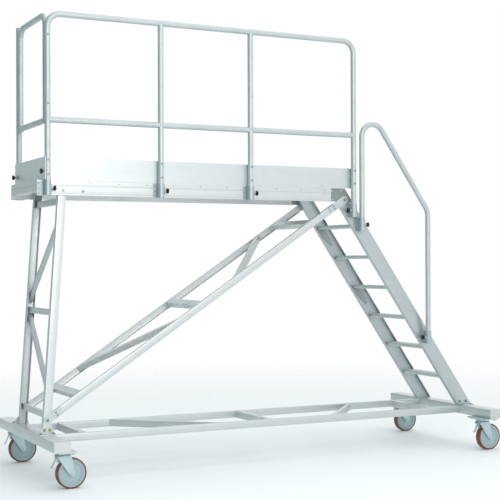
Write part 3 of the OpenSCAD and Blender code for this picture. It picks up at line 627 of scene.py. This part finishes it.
def bent_path(corners, radii):
    """A polyline whose inner corners are arcs: a corner turning by t starts radius * tan(t / 2) before it."""
    corners = [np.asarray(c, float) for c in corners]
    path = [corners[0]]
    for before, at, after, radius in zip(corners[:-2], corners[1:-1], corners[2:], radii, strict=True):
        a = (at - before) / np.linalg.norm(at - before)
        b = (after - at) / np.linalg.norm(after - at)
        turn = math.acos(np.clip(a @ b, -1, 1))
        start = at - a * radius * math.tan(turn / 2)
        inward = b - (a @ b) * a
        inward /= np.linalg.norm(inward)
        steps = max(2, int(turn / BEND_STEP))
        t = np.linspace(0, turn, steps + 1)[:, None]
        path += list(start + radius * (np.sin(t) * a + (1 - np.cos(t)) * inward))
    path.append(corners[-1])
    return np.array(path)


def swept(path, binormal, outline, close=False, size=1.0):
    """A closed outline carried along a flat path: point (u, v) goes to u * normal + v * binormal, where
    the normal is the binormal crossed with the path's direction. size scales it at each path point, and
    close joins the end of the path to its start."""
    path = np.asarray(path, float)
    ahead = np.roll(path, -1, 0) - np.roll(path, 1, 0)
    if not close:
        ahead[0], ahead[-1] = path[1] - path[0], path[-1] - path[-2]
    ahead /= np.linalg.norm(ahead, axis=1, keepdims=True)
    binormal = np.broadcast_to(np.asarray(binormal, float), ahead.shape)
    normal = np.cross(binormal, ahead)
    normal /= np.linalg.norm(normal, axis=1, keepdims=True)
    size = np.broadcast_to(size, len(path))[:, None, None]
    outline = np.asarray(outline, float)
    points = path[:, None] + size * (outline[:, :1] * normal[:, None] + outline[:, 1:] * binormal[:, None])
    if close:
        points = np.concatenate([points, points[:1]])
        return facing_out(points.reshape(-1, 3), quads(*points.shape[:2], True))
    return skin(points)


def circle(radius, sides=TUBE_SIDES):
    turn = np.linspace(0, 2 * np.pi, sides, endpoint=False)
    return np.stack([radius * np.cos(turn), radius * np.sin(turn)], -1)


def tube(corners, radii, binormal):
    return swept(bent_path(corners, radii), binormal, circle(TUBE_RADIUS))


# Drawn tube has no die lines, only a soft mottle and fine specks, and is duller than the extrusions.
drawn = Finish("drawn_aluminium_tube", metallic=0.45, roughness=0.48)
tube_mottle = drawn.noise(7.0, 4.0, distortion=0.5)
tube_smudge = drawn.noise(3.1, 5.0, distortion=1.2).between(0.58, 0.72)
tube_speck = drawn.noise(300.0, 2.0)
tube_skin = drawn.mixed(tube_mottle, (0.56, 0.60, 0.605), (0.45, 0.49, 0.50))
tube_skin = drawn.mixed(tube_smudge * 0.25, tube_skin, SMUDGE)
drawn.out("Base Color", drawn.mixed(tube_speck.between(0.6, 0.75) * 0.12, tube_skin, SMUDGE))
drawn.out("Roughness", 0.40 + 0.12 * tube_mottle + 0.06 * tube_speck)
drawn.out("Normal", drawn.bumped(tube_speck, 0.00002))
GUARD_BEND = 0.090
PLUG_RISE = 0.003
low, high = corners_of("guard_top_rail")
rail_y = (low[1] + high[1]) / 2
rail_z = high[2] - TUBE_RADIUS
first_x, last_x = low[0] + TUBE_RADIUS, high[0] - TUBE_RADIUS
cloud = solids("guard_top_rail")[0]
right_foot = cloud[cloud[:, 0] > last_x - TUBE_RADIUS - NEAR][:, 2].min()
left_foot = cloud[cloud[:, 0] < first_x + TUBE_RADIUS + NEAR][:, 2].min()
rail_line = [(first_x, left_foot), (first_x, rail_z), (last_x, rail_z), (last_x, right_foot)]
top_rail = tube([(x, rail_y, z) for x, z in rail_line], [GUARD_BEND, GUARD_BEND], Y)
piece("guard_top_rail_tube", [top_rail], "guard_rail", drawn, ["guard_top_rail"])

low, high = corners_of("guard_posts")
post_xs = [low[0] + TUBE_RADIUS, high[0] - TUBE_RADIUS]
posts = [tube([(x, rail_y, low[2]), (x, rail_y, rail_z - INTO_TUBE)], [], Y) for x in post_xs]
piece("guard_post_tubes", posts, "guard_rail", drawn, ["guard_posts"])

low, high = corners_of("knee_rails")
knee_z = (low[2] + high[2]) / 2
line = [first_x, *post_xs, last_x]
knees = []
for a, b in zip(line[:-1], line[1:], strict=True):
    knees.append(tube([(a + INTO_TUBE, rail_y, knee_z), (b - INTO_TUBE, rail_y, knee_z)], [], Y))
piece("knee_rail_tubes", knees, "guard_rail", drawn, ["knee_rails"])

low, high = corners_of("corner_post")
corner_y, corner_top = (low[1] + high[1]) / 2, high[2]
corner = tube([(first_x, corner_y, low[2]), (first_x, corner_y, corner_top - PLUG_RISE)], [], Y)
piece("corner_post_tube", [corner], "guard_rail", drawn, ["corner_post"])

HOOP_BEND = 0.080
low, high = corners_of("end_hoop")
hoop_y = high[1] - TUBE_RADIUS
hoop_low = low[2]
hoop_line = [(-hoop_y, hoop_low), (-hoop_y, rail_z), (hoop_y, rail_z), (hoop_y, hoop_low)]
hoop = tube([(first_x, y, z) for y, z in hoop_line], [HOOP_BEND, HOOP_BEND], X)
hoop_bar = tube([(first_x, -hoop_y + INTO_TUBE, knee_z), (first_x, hoop_y - INTO_TUBE, knee_z)], [], X)
piece("end_hoop_tube", [hoop, hoop_bar], "guard_rail", drawn, ["end_hoop"])

HAND_TOP_BEND = 0.098
HAND_LOW_BEND = 0.110
low, high = corners_of("handrail")
hand_y = (low[1] + high[1]) / 2
hand_x5, hand_x6 = low[0] + TUBE_RADIUS, high[0] - TUBE_RADIUS
cloud = solids("handrail")[0]
hand_z5 = cloud[cloud[:, 0] < hand_x5 + TUBE_RADIUS][:, 2].min()
centre = np.array([hand_x5 + HAND_TOP_BEND, high[2] - TUBE_RADIUS - HAND_TOP_BEND])
normal = np.array([math.sin(LADDER_SLOPE), math.cos(LADDER_SLOPE)])
on_slope = centre + HAND_TOP_BEND * normal
slope_z = on_slope[1] + (on_slope[0] - np.array([hand_x5, hand_x6])) * math.tan(LADDER_SLOPE)
hand_line = [(hand_x5, hand_z5), (hand_x5, slope_z[0]), (hand_x6, slope_z[1]), (hand_x6, low[2])]
hand = tube([(x, hand_y, z) for x, z in hand_line], [HAND_TOP_BEND, HAND_LOW_BEND], Y)
piece("hand_rail_tube", [hand], "hand_rail", drawn, ["handrail"])

# ---- Sheet, plates and sockets ----
# Toe boards are aluminium sheet. Feet, end plates and castor mounts are zinc plated, a shade bluer, and the
# plates on the ladder heads are dark.
sheet = aluminium("aluminium_sheet", (0, 0, 0), (0.66, 0.70, 0.705), (0.54, 0.585, 0.595), 0.38, 0.7)
wear("toe_boards", sheet)
wear("toe_board_end", sheet, 0)


def zinc(name, pale, dull, rough=0.42, metallic=0.75):
    """Zinc plate: small crystal patches from a cell pattern, over a soft mottle, with fine grit."""
    finish = Finish(name, metallic=metallic, roughness=rough)
    sockets = {"Vector": finish.place, "Scale": 90.0}
    cells = finish.node("ShaderNodeTexVoronoi", {"feature": "F1"}, sockets, "Distance")
    mottle = finish.noise(14.0, 4.0)
    grit = finish.noise(420.0, 2.0)
    finish.out("Base Color", finish.mixed(mottle * 0.7 + cells * 0.4, pale, dull))
    finish.out("Roughness", rough - 0.1 + 0.16 * mottle + 0.06 * grit)
    finish.out("Normal", finish.bumped(grit * 0.5 + mottle, 0.00012))
    return finish


plated = zinc("zinc_plate", (0.62, 0.67, 0.68), (0.46, 0.51, 0.53))
for node in ("castor_mount_plates", "leg_feet", "brace_end_fittings", "stringer_feet", "toe_brackets"):
    wear(node, plated)
wear("step_brackets", zinc("dull_bracket", (0.42, 0.47, 0.46), (0.28, 0.32, 0.32), 0.5))


def mottled(name, mottle, pale, dull, rough, spread, grain=None, **kind):
    """A finish between two colours by one mottle, which also roughens it by up to spread. The mottle and
    the grain give the scale and detail of a noise, and the grain also the depth of its bump."""
    finish = Finish(name, **kind)
    amount = finish.noise(*mottle)
    finish.out("Base Color", finish.mixed(amount, pale, dull))
    finish.out("Roughness", rough + spread * amount)
    if grain:
        finish.out("Normal", finish.bumped(finish.noise(*grain[:2]), grain[2]))
    return finish


DARK = ((0.27, 0.315, 0.30), (0.20, 0.24, 0.23))
dark_grain = (500.0, 2.0, 0.00015)
wear("gusset_plates", mottled("dark_grey_plate", (60.0, 5.0), *DARK, 0.42, 0.2, dark_grain, metallic=0.35))

# ---- Castors ----
# Pressed and zinc plated swivel forks. The wheel is a pale plastic hub with a thin red-brown tread.
bright = zinc("bright_castor_zinc", (0.56, 0.67, 0.70), (0.42, 0.52, 0.55), 0.34)
wear("castor_top_plates", bright)
HUB = ((0.36, 0.475, 0.50), (0.28, 0.385, 0.41))
hub_grain = (300.0, 3.0, 0.0002)
hub_skin = mottled("pale_blue_grey_hub", (9.0, 5.0), *HUB, 0.36, 0.16, hub_grain, roughness=0.42, coat=0.15)
tread_skin = Finish("red_brown_tread", roughness=0.5)
tread_mottle = tread_skin.noise(22.0, 6.0, distortion=0.8)
scuff = tread_skin.noise(150.0, 4.0).between(0.55, 0.72)
tread_colour = tread_skin.mixed(tread_mottle, (0.235, 0.065, 0.04), (0.13, 0.038, 0.026))
tread_skin.out("Base Color", tread_skin.mixed(scuff * 0.35, tread_colour, (0.32, 0.15, 0.11)))
tread_skin.out("Roughness", 0.42 + 0.2 * tread_mottle + 0.15 * scuff)
tread_skin.out("Normal", tread_skin.bumped(tread_mottle + scuff * 0.3, 0.0004))

knob_skin = Finish("black_moulded_knob", roughness=0.45)
knob_skin.shader.inputs["Specular IOR Level"].default_value = 0.2
knob_grain = knob_skin.noise(700.0, 2.0)
knob_mottle = knob_skin.noise(60.0, 3.0)
knob_skin.out("Base Color", knob_skin.mixed(knob_mottle, (0.012, 0.012, 0.013), (0.03, 0.03, 0.032)))
knob_skin.out("Roughness", 0.38 + 0.2 * knob_grain)
knob_skin.out("Normal", knob_skin.bumped(knob_grain, 0.0002))

screw_zinc = zinc("screw_zinc", (0.66, 0.68, 0.67), (0.48, 0.50, 0.50), 0.3, 0.9)
bolt_zinc = zinc("bolt_zinc", (0.34, 0.37, 0.37), (0.19, 0.215, 0.215), 0.36, 0.85)


def turned(profile, centre, axis, sides, ripple=None):
    """A profile of (radius, height) points turned about an axis: each goes to
    centre + height * axis + radius * (cos a * e1 + sin a * e2). ripple(radius, a, height) may give
    another radius."""
    profile = np.asarray(profile, float)
    e1 = np.cross(axis, X if abs(axis[0]) < 0.9 else Z)
    e1 /= np.linalg.norm(e1)
    e2 = np.cross(axis, e1)
    turn = np.linspace(0, 2 * np.pi, sides, endpoint=False)
    radius, height = (np.repeat(profile[:, k : k + 1], sides, 1) for k in (0, 1))
    if ripple:
        radius = ripple(radius, turn, height)
    spin = np.cos(turn)[:, None] * e1 + np.sin(turn)[:, None] * e2
    return centre + height[..., None] * axis + radius[..., None] * spin


def lathe(profile, centre, axis, sides=56, ripple=None):
    """A turned profile with a flat face over each end."""
    return skin(turned(profile, centre, axis, sides, ripple))


def ring(profile, centre, axis, sides=56):
    """A turned profile that closes on itself round a hole."""
    faces = np.array(quads(len(profile) + 1, sides, True)) % (len(profile) * sides)
    return facing_out(turned(profile, centre, axis, sides).reshape(-1, 3), faces.tolist())


joint_at = {j["name"]: np.array(j.get("pos_m", (0, 0, 0)), float) for j in frame["joints"]}
CASTORS = ("nl", "fl", "nr", "fr")

# Wheel: tread moulded over the hub with rounded shoulders, hub with a raised rim, dish and boss, and a
# dark seal on each side of the boss.
WHEEL_RADIUS = 0.100
TREAD_HALF = 0.025
shoulder = np.linspace(0, math.pi / 2, 7)
SHOULDER = 0.0075
tread_side = np.stack([np.sin(shoulder), np.cos(shoulder)], -1) * SHOULDER
tread_side += [WHEEL_RADIUS - SHOULDER, TREAD_HALF - SHOULDER]
TREAD_LINE = [(0.0846, 0.020), (0.0900, 0.0215), (0.0903, 0.0242), *tread_side]
tread_loop = TREAD_LINE + [(r, -h) for r, h in TREAD_LINE[::-1]]
HUB_HALF = [
    (0.0062, 0.0255), (0.0115, 0.0255), (0.0118, 0.0250), (0.0160, 0.0250), (0.0163, 0.0304), (0.0205, 0.0304),
    (0.0215, 0.0296), (0.0232, 0.0215), (0.0250, 0.0190), (0.0300, 0.0178), (0.0640, 0.0150), (0.0672, 0.0152),
    (0.0690, 0.0175), (0.0702, 0.0216), (0.0716, 0.0226), (0.0790, 0.0222), (0.0796, 0.0206), (0.0812, 0.0206),
    (0.0818, 0.0222), (0.0880, 0.0222), (0.0890, 0.0214), (0.0895, 0.0200),
]
hub_loop = HUB_HALF + [(r, -h) for r, h in HUB_HALF[::-1]]
SEAL = [(0.0120, 0.0251), (0.0125, 0.0262), (0.0155, 0.0262), (0.0158, 0.0251)]
SEAL_GREY = ((0.05, 0.055, 0.06), (0.10, 0.105, 0.11))
seal_skin = mottled("dark_bearing_seal", (500.0, 2.0), *SEAL_GREY, 0.45, 0.2, roughness=0.55)
for c in CASTORS:
    axle = joint_at["wheel_spin_" + c]
    rides = "wheel_" + c
    piece("moulded_tread_" + c, [ring(tread_loop, axle, Y, 96)], rides, tread_skin, ["tyre_" + c])
    piece("dished_hub_" + c, [ring(hub_loop, axle, Y, 96)], rides, hub_skin, ["hub_" + c])
    seals = [ring([(r, s * h) for r, h in SEAL], axle, Y) for s in (-1, 1)]
    piece("bearing_seal_" + c, seals, rides, seal_skin)

# Fork: a pressed crown on the ball race, with two legs that taper down to the axle. Their edges are
# turned inwards, and a crease runs down each one for stiffness.
CROWN_LOW, CROWN_HIGH, CROWN_RADIUS = 0.2127, 0.2217, 0.054
LEG_TOP_LEFT, LEG_TOP_RIGHT = -0.050, 0.048
EYE_RADIUS = 0.021
TRAIL = 0.052
AXLE_HEIGHT = 0.100
FORK_HALF = 0.036
FORK_SHEET = 0.0045
FORK_FACE = FORK_HALF - 0.0016
EDGE_DIP = 0.0035
DIP_FROM = 0.80
CREASE_HEIGHT = 0.0016
CREASE_AT, CREASE_WIDTH = 0.030, 0.0035
CREASE_LOW, CREASE_FADE = AXLE_HEIGHT + 0.02, 0.03
KINGPIN_TOP = 0.2326
NUT_SIZE = 0.0115
RIVET_AT = (-0.009, 0.198)
LEVER_TAPER = 0.22
PAD_HALF = 0.0105


def cheek(swivel, side):
    """Point (u, v) lies u of the way down the leg and v of the way across it, from its left edge at -1 to
    its right at 1. The edges are the lines from the crown that touch the eye round the axle, and below
    the touching points the eye itself. The face dips inwards near the edges and rises along the crease."""
    top = CROWN_LOW + 0.001
    heights = AXLE_HEIGHT - EYE_RADIUS + (top - AXLE_HEIGHT + EYE_RADIUS) * (1 - np.linspace(0, 1, 40) ** 0.8)
    heights[-1] = AXLE_HEIGHT - EYE_RADIUS + 1e-5
    edges = []
    for x_top, sign in ((LEG_TOP_LEFT, -1), (LEG_TOP_RIGHT, 1)):
        away = np.array([x_top - TRAIL, top - AXLE_HEIGHT])
        angle = math.atan2(away[1], away[0]) - sign * math.acos(EYE_RADIUS / np.linalg.norm(away))
        touch = np.array([TRAIL, AXLE_HEIGHT]) + EYE_RADIUS * np.array([math.cos(angle), math.sin(angle)])
        line = x_top + (touch[0] - x_top) * (top - heights) / (top - touch[1])
        arc = TRAIL + sign * np.sqrt(np.maximum(EYE_RADIUS**2 - (heights - AXLE_HEIGHT) ** 2, 0))
        edges.append(np.where(heights > touch[1], line, arc))
    v = np.linspace(-1, 1, 33)
    x = edges[0][:, None] + (edges[1] - edges[0])[:, None] * (v + 1) / 2
    z = np.repeat(heights[:, None], len(v), 1)
    dip = EDGE_DIP * np.clip((np.abs(v) - DIP_FROM) / (1 - DIP_FROM), 0, 1) ** 2
    crease = np.exp(-(((x - CREASE_AT) / CREASE_WIDTH) ** 2)) * np.clip((z - CREASE_LOW) / CREASE_FADE, 0, 1)
    y = FORK_FACE - dip + CREASE_HEIGHT * crease
    inner = y - FORK_SHEET + (FORK_HALF - FORK_FACE)
    shell = np.concatenate([np.stack([x, y, z], -1), np.stack([x, inner, z], -1)[:, ::-1]], 1)
    return skin(swivel * [1, 1, 0] + shell * [1, side, 1])


def hexagon(across):
    """Makes the rows of a turned head six-sided where their radius is negative: their radius becomes
    across * cos 30 / cos of the angle from the nearest flat's middle. The other rows stay round."""

    def shape(radius, turn, height):
        flat = across * math.cos(math.pi / 6) / np.cos((turn + math.pi / 6) % (math.pi / 3) - math.pi / 6)
        return np.where(radius > 0, radius, flat)

    return shape


HEAD_PROFILE = [
    (1.0, 0), (1.05, 0.03), (1.05, 0.12), (1.0, 0.15), (-1, 0.15), (-1, 0.66), (0.80, 0.77), (0.45, 0.77),
    (0.40, 0.72), (0.05, 0.72),
]
HEAD_TALL = 0.77
HEAD_ACROSS = 0.92


def bolt_head(centre, axis, size):
    """A washer, then a six-sided head with its corners turned off, in shares of the thread's size."""
    return lathe(np.array(HEAD_PROFILE) * size, centre, axis, 36, hexagon(HEAD_ACROSS * size))


CROWN = [
    (0.012, CROWN_LOW + 0.002), (0.050, CROWN_LOW + 0.002), (0.0528, CROWN_LOW), (CROWN_RADIUS, CROWN_LOW + 0.001),
    (CROWN_RADIUS, CROWN_LOW + 0.005), (0.0525, CROWN_HIGH - 0.0015), (0.049, CROWN_HIGH), (0.012, CROWN_HIGH),
]
KINGPIN = [(0.007, CROWN_HIGH - 0.002), (0.007, KINGPIN_TOP)]
NUT = [(-1, CROWN_LOW - 0.0065), (-1, CROWN_LOW + 0.0025)]
WASHER = [(0.0065, -0.006), (0.0155, -0.006), (0.0160, 0.0002), (0.0150, 0.0014), (0.0065, 0.0014)]
RIVET = [(0.0045, -0.003), (0.0045, 0.0004), (0.0038, 0.0014), (0.0020, 0.0020), (0.0003, 0.0021)]
PIN_HEAD = [(0.0060, 0.0), (0.0060, 0.0010), (0.0045, 0.0022), (0.0003, 0.0026)]
AXLE = [(0.0059, -0.036), (0.0059, 0.036)]
PIN = [(0.0039, -0.0365), (0.0039, 0.0365)]
RACE = [(0.0495, 0.2224), (0.0510, 0.2235), (0.0510, 0.2250), (0.0495, 0.2262), (0.0484, 0.2262), (0.0484, 0.2224)]
LEVER_BENDS = np.array([(-0.004, 0, 0.004), (-0.0095, 0, 0.0015), (-0.0388, 0, -0.0655), (-0.0505, 0, -0.0588)])
LEVER_STRIP = rounded(rectangle(-0.0014, 0.0014, -0.013, 0.013), 0.0012)
BARREL = [
    (0.0041, -0.015), (0.0072, -0.015), (0.0080, -0.0142), (0.0080, 0.0142), (0.0072, 0.015), (0.0041, 0.015),
]
PAD = rounded([(0.0, -0.0035), (0.016, -0.030), (0.0083, -0.036), (-0.003, -0.030)], 0.0015)
for c in CASTORS:
    swivel, axle, pin = (joint_at[kind + c] for kind in ("swivel_", "wheel_spin_", "brake_press_"))
    base = swivel * [1, 1, 0]
    shells = [lathe(CROWN, base, Z, 72), cheek(swivel, -1), cheek(swivel, 1), lathe(KINGPIN, base, Z, 32)]
    shells.append(lathe(NUT, base, Z, 36, hexagon(NUT_SIZE)))
    axle_bolts, pin_heads = [], []
    for side in (-1, 1):
        face = axle + side * FORK_HALF * Y
        shells.append(lathe(WASHER, face, side * Y, 40))
        axle_bolts.append(bolt_head(face + side * 0.0012 * Y, side * Y, 0.0095))
        rivet_at = base + [RIVET_AT[0], side * FORK_FACE, RIVET_AT[1]]
        shells.append(lathe(RIVET, rivet_at, side * Y, 20))
        pin_heads.append(lathe(PIN_HEAD, pin + side * (FORK_HALF - 0.0014) * Y, side * Y, 20))
    shells += [lathe(AXLE, axle, Y, 24), lathe(PIN, pin, Y, 20), *pin_heads]
    piece("pressed_fork_" + c, shells, "castor_" + c, bright, ["fork_" + c])
    piece("axle_bolt_" + c, axle_bolts, "castor_" + c, screw_zinc)
    piece("race_lip_" + c, [ring(RACE, base, Z, 72)], "frame", bright)

    # Brake lever: a strip bent down from its barrel and kicked out at the toe, with a pad for the tread.
    path = bent_path(pin + LEVER_BENDS, [0.004, 0.006])
    lever = [swept(path, Y, LEVER_STRIP, size=1.0 - LEVER_TAPER * np.linspace(0, 1, len(path)))]
    lever.append(ring(BARREL, pin, Y, 36))
    lever.append(extrusion(PAD, pin - PAD_HALF * Y, pin + PAD_HALF * Y, X, Z))
    piece("bent_brake_lever_" + c, lever, "brake_lever_" + c, bright, ["brake_" + c])

# ---- Sockets and clamp screws ----
# Each rail post drops into a sleeve with a closed foot, welded to its back plate by a short neck. A screw
# with a star knob clamps the post through a boss on the sleeve.
SLEEVE_RADIUS = 0.02405
BORE_RADIUS = 0.02005
SLEEVE_FLOOR = 0.003
NECK_END = 0.0220
NECK_HALF = 0.017
PLATE_FRONT = 0.004
PLATE_RIGHT = 0.030
PLATE_SLACK = 0.0005
BLOCK_HALF = 0.028
BLOCK_MARGIN = 0.008
BOSS_RADIUS = 0.011
BOSS_END = SLEEVE_RADIUS + 0.009
SCREW_HOLE = 0.0053
post_line = [first_x, *post_xs, last_x, hand_x5, hand_x6]
face_y = corners_of("side_beam_near")[0][1]
post_out = abs(rail_y) - abs(face_y)
across_neck = np.linspace(NECK_HALF, -NECK_HALF, 15)
neck_end = np.stack([across_neck, post_out - np.sqrt(NECK_END**2 - across_neck**2)], -1)
boss = [
    (SCREW_HOLE, NECK_END), (BOSS_RADIUS, NECK_END), (BOSS_RADIUS, BOSS_END - 0.0015),
    (BOSS_RADIUS - 0.0012, BOSS_END), (SCREW_HOLE, BOSS_END),
]
sockets = []
for points in solids("rail_sockets"):
    low, high = points.min(0), points.max(0)
    out = np.abs(points[:, 1])
    tip = points[out > out.max() - 0.002][:, 0].mean()
    x = min(post_line, key=lambda post: abs(post - tip))
    left = points[np.abs(out - abs(face_y)) < NEAR][:, 0].min() - x
    long = high[2] - low[2]
    cup = [
        (0.001, 0), (SLEEVE_RADIUS - 0.001, 0), (SLEEVE_RADIUS, 0.001), (SLEEVE_RADIUS, long - 0.001),
        (SLEEVE_RADIUS - 0.0008, long), (BORE_RADIUS + 0.0008, long), (BORE_RADIUS, long - 0.0008),
        (BORE_RADIUS, SLEEVE_FLOOR), (0.001, SLEEVE_FLOOR),
    ]
    parts = [lathe(cup, np.array([x, rail_y, low[2]]), Z, 56)]
    outline = [(PLATE_RIGHT, 0), (PLATE_RIGHT, PLATE_FRONT), (NECK_HALF, PLATE_FRONT), *neck_end.tolist()]
    outline += [(-NECK_HALF, PLATE_FRONT), (left, PLATE_FRONT), (left, 0)]
    foot, head = np.array([x, face_y, low[2]]), np.array([x, face_y, high[2]])
    parts.append(extrusion(outline, foot, head, X, -Y))
    back = abs(face_y) - out.min()
    if back > 0.001:
        block = rectangle(-BLOCK_HALF, BLOCK_HALF, -back, 0)
        parts.append(extrusion(block, foot + BLOCK_MARGIN * Z, head - BLOCK_MARGIN * Z, X, -Y))
    far = low[1] > 0
    if not far:
        side = 1 if high[0] - x > PLATE_RIGHT + PLATE_SLACK else -1
        parts.append(ring(boss, np.array([x, rail_y, (low[2] + high[2]) / 2]), side * X, 32))
    sockets += [other_side(part) for part in parts] if far else parts
PALE_SOCKET = (0.45, 0.51, 0.53)
DULL_SOCKET = (0.35, 0.40, 0.42)
socket_skin = aluminium("aluminium_socket", (0, math.pi / 2, 0), PALE_SOCKET, DULL_SOCKET, 0.45, 0.5, 0.6)
piece("post_sockets", sockets, "frame", socket_skin, ["rail_sockets"])

KNOB_RADIUS = 0.018
KNOB_THICK = 0.018
LOBES = 5
LOBE_DIP = 0.20
KNOB_HEAD = [
    (0.0050, -0.0005), (0.0090, 0.0), (0.0100, 0.0035), (0.0150, 0.0045), (KNOB_RADIUS - 0.001, 0.0060),
    (KNOB_RADIUS, 0.0080), (KNOB_RADIUS, 0.0150), (KNOB_RADIUS - 0.0012, 0.0170), (KNOB_RADIUS - 0.0035, 0.0180),
    (0.0095, 0.0180), (0.0088, 0.0172), (0.0010, 0.0168),
]
SHANK_RADIUS = 0.00495
SHANK_ROWS = 60
THREAD_PITCH = 0.0015
THREAD_DEPTH = 0.0004


def star(radius, turn, height):
    """Five lobes: the radius falls by a share of (1 - cos 5a) / 2, raised to a power that keeps them
    broad."""
    dip = LOBE_DIP * ((1 - np.cos(LOBES * turn)) / 2) ** 1.5
    return radius * (1 - dip * np.clip(radius / KNOB_RADIUS * 1.6 - 0.6, 0, 1))


def thread(radius, turn, height):
    """A single-start thread: the radius waves with height / pitch - a / (2 pi)."""
    return radius - THREAD_DEPTH * (0.5 + 0.5 * np.cos(2 * np.pi * (height / THREAD_PITCH) - turn))


for k in range(1, 9):
    low, high = corners_of("knob_%d" % k)
    at = joint_at["knob_turn_%d" % k]
    out = 1 if high[0] - at[0] > at[0] - low[0] else -1
    tip = np.array([low[0] if out > 0 else high[0], at[1], at[2]])
    reach = high[0] - low[0] - KNOB_THICK
    body = "clamp_knob_%d" % k
    head = lathe(KNOB_HEAD, tip + out * reach * X, out * X, 60, star)
    piece("star_knob_%d" % k, [head], body, knob_skin, ["knob_%d" % k])
    shank = np.stack([np.full(SHANK_ROWS, SHANK_RADIUS), np.linspace(0, reach, SHANK_ROWS)], -1)
    screw = lathe(shank, tip, out * X, 24, thread)
    piece("clamp_screw_%d" % k, [screw], body, screw_zinc)

# ---- Bolts and rivets ----
# Hexagon bolts with washers hold every joint of the frame. Those at the leg feet and the one beside the
# near left socket are yellow passivated, the screws of the dark plates are pale, the rest plain zinc.
FOOT_BOLTS = (0.33, 0.36)
HEAD_BOLTS = (1.9, 1.96)
FROM_SOCKET = (0.10, 0.13)
LEG_END = -1.4
GUSSET_FROM, GUSSET_TO = 0.42, 0.60
SMALL_SCREW = 0.014
LOW_BOLTS = 0.25
yellow = zinc("yellow_passivated_zinc", (0.44, 0.43, 0.15), (0.26, 0.29, 0.10), 0.36, 0.7)
for node, body in (("frame_bolts", "frame"), ("guard_bolts", "guard_rail")):
    plain, gold, pale = [], [], []
    for points in solids(node):
        low, high = points.min(0), points.max(0)
        size, (x, y, z) = high - low, (low + high) / 2
        k = int(np.argmin(size))
        if k == 1:
            axis = Y * np.sign(y)
        else:
            axis = Z if z > LOW_BOLTS else -Z
        head = bolt_head((x, y, z) - axis * size[k] / 2, axis, size[k] / HEAD_TALL)
        at_foot = FOOT_BOLTS[0] < z < FOOT_BOLTS[1]
        at_head = HEAD_BOLTS[0] < z < HEAD_BOLTS[1] and FROM_SOCKET[0] < x - first_x < FROM_SOCKET[1]
        is_gold = k == 1 and x < LEG_END and (at_foot or at_head)
        on_gusset = size.max() < SMALL_SCREW and GUSSET_FROM < x < GUSSET_TO and z > HEAD_BOLTS[0]
        on_frame = node == "frame_bolts"
        (gold if on_frame and is_gold else pale if on_frame and on_gusset else plain).append(head)
    piece(node + "_zinc", plain, body, bolt_zinc, [node])
    if gold:
        piece(node + "_yellow", gold, body, yellow)
        piece("gusset_screws", pale, body, screw_zinc)

# ---- Welds ----
# The cross bars are welded in along three sides of each end, and the rail tubes all round. The beads
# show the even ripples of hand welding.
BEAD = 0.0027
TUBE_BEAD = 0.002
SUNK = 0.0008
RIPPLE = 0.0042
RIPPLE_SHARE = 0.12
weld = aluminium("weld_bead", (0, 0, 0), (0.62, 0.65, 0.65), (0.44, 0.47, 0.47), 0.34, 0.3)


def bead(path, binormal, close=False, radius=BEAD):
    """A round bead along a path, resampled every fifth of a ripple. Its size waves by RIPPLE_SHARE with
    the distance along it."""
    path = np.asarray(path, float)
    if close:
        path = np.concatenate([path, path[:1]])
    far = np.concatenate([[0], np.cumsum(np.linalg.norm(np.diff(path, axis=0), axis=1))])
    count = max(6, int(far[-1] / RIPPLE * 5))
    t = np.linspace(0, far[-1], count, endpoint=not close)
    line = np.stack([np.interp(t, far, path[:, k]) for k in range(3)], -1)
    size = 1 + RIPPLE_SHARE * np.sin(2 * np.pi * t / RIPPLE)
    return swept(line, binormal, circle(radius, 8), close, size)


def end_beads(node, along, up):
    """Beads round three sides of both ends of each bar, in the plane of along and up."""
    beads = []
    for points in solids(node):
        for sign in (-1, 1):
            end = (points[:, 1] * sign).max()
            tip = points[points[:, 1] * sign > end - NEAR]
            a, b = tip @ along, tip @ up
            y = sign * (end - SUNK)
            plane = [(a.min(), b.min()), (a.min(), b.max()), (a.max(), b.max()), (a.max(), b.min())]
            path = [p * along + q * up + y * Y for p, q in plane]
            beads.append(bead(path, Y))
    return beads


beads = end_beads("base_bars", X, Z) + end_beads("leg_bars", leg_run, -leg_across)
beads += end_beads("brace_bars_set", brace_run, brace_across)
piece("bar_welds", beads, "frame", weld, smooth=60)

rail_beads = []
turn = np.linspace(0, 2 * np.pi, 48, endpoint=False)
wave, sway = TUBE_RADIUS * np.cos(turn), TUBE_RADIUS * np.sin(turn)
reach = np.sqrt(np.maximum(TUBE_RADIUS**2 - sway**2, 0)) + SUNK
for a, b in zip(line[:-1], line[1:], strict=True):
    for x, sign in ((a, 1), (b, -1)):
        saddle = x + sign * (np.abs(wave) + SUNK)
        path = np.stack([saddle, rail_y + sway, knee_z + wave], -1)
        rail_beads.append(bead(path, X, True, TUBE_BEAD))
for x in post_xs:
    path = np.stack([x + wave, rail_y + sway, rail_z - reach], -1)
    rail_beads.append(bead(path, Z, True, TUBE_BEAD))
for sign in (-1, 1):
    path = np.stack([first_x + sway, sign * (hoop_y - reach), knee_z + wave], -1)
    rail_beads.append(bead(path, Y, True, TUBE_BEAD))
piece("rail_welds", rail_beads, "guard_rail", weld, smooth=60)

plug = mottled("grey_end_plug", (80.0, 3.0), (0.50, 0.54, 0.55), (0.38, 0.42, 0.43), 0.42, 0.2)
PLUG = [
    (TUBE_RADIUS - 0.0005, -0.0025), (TUBE_RADIUS - 0.0002, -0.001), (TUBE_RADIUS - 0.001, 0.0),
    (0.010, 0.0), (0.001, 0.0),
]
plugs = [lathe(PLUG, (first_x, corner_y, corner_top), Z, 40)]
for sign in (-1, 1):
    plugs.append(lathe(PLUG, (first_x, sign * hoop_y, hoop_low - 0.0005), -Z, 40))
piece("tube_end_plugs", plugs, "guard_rail", plug)
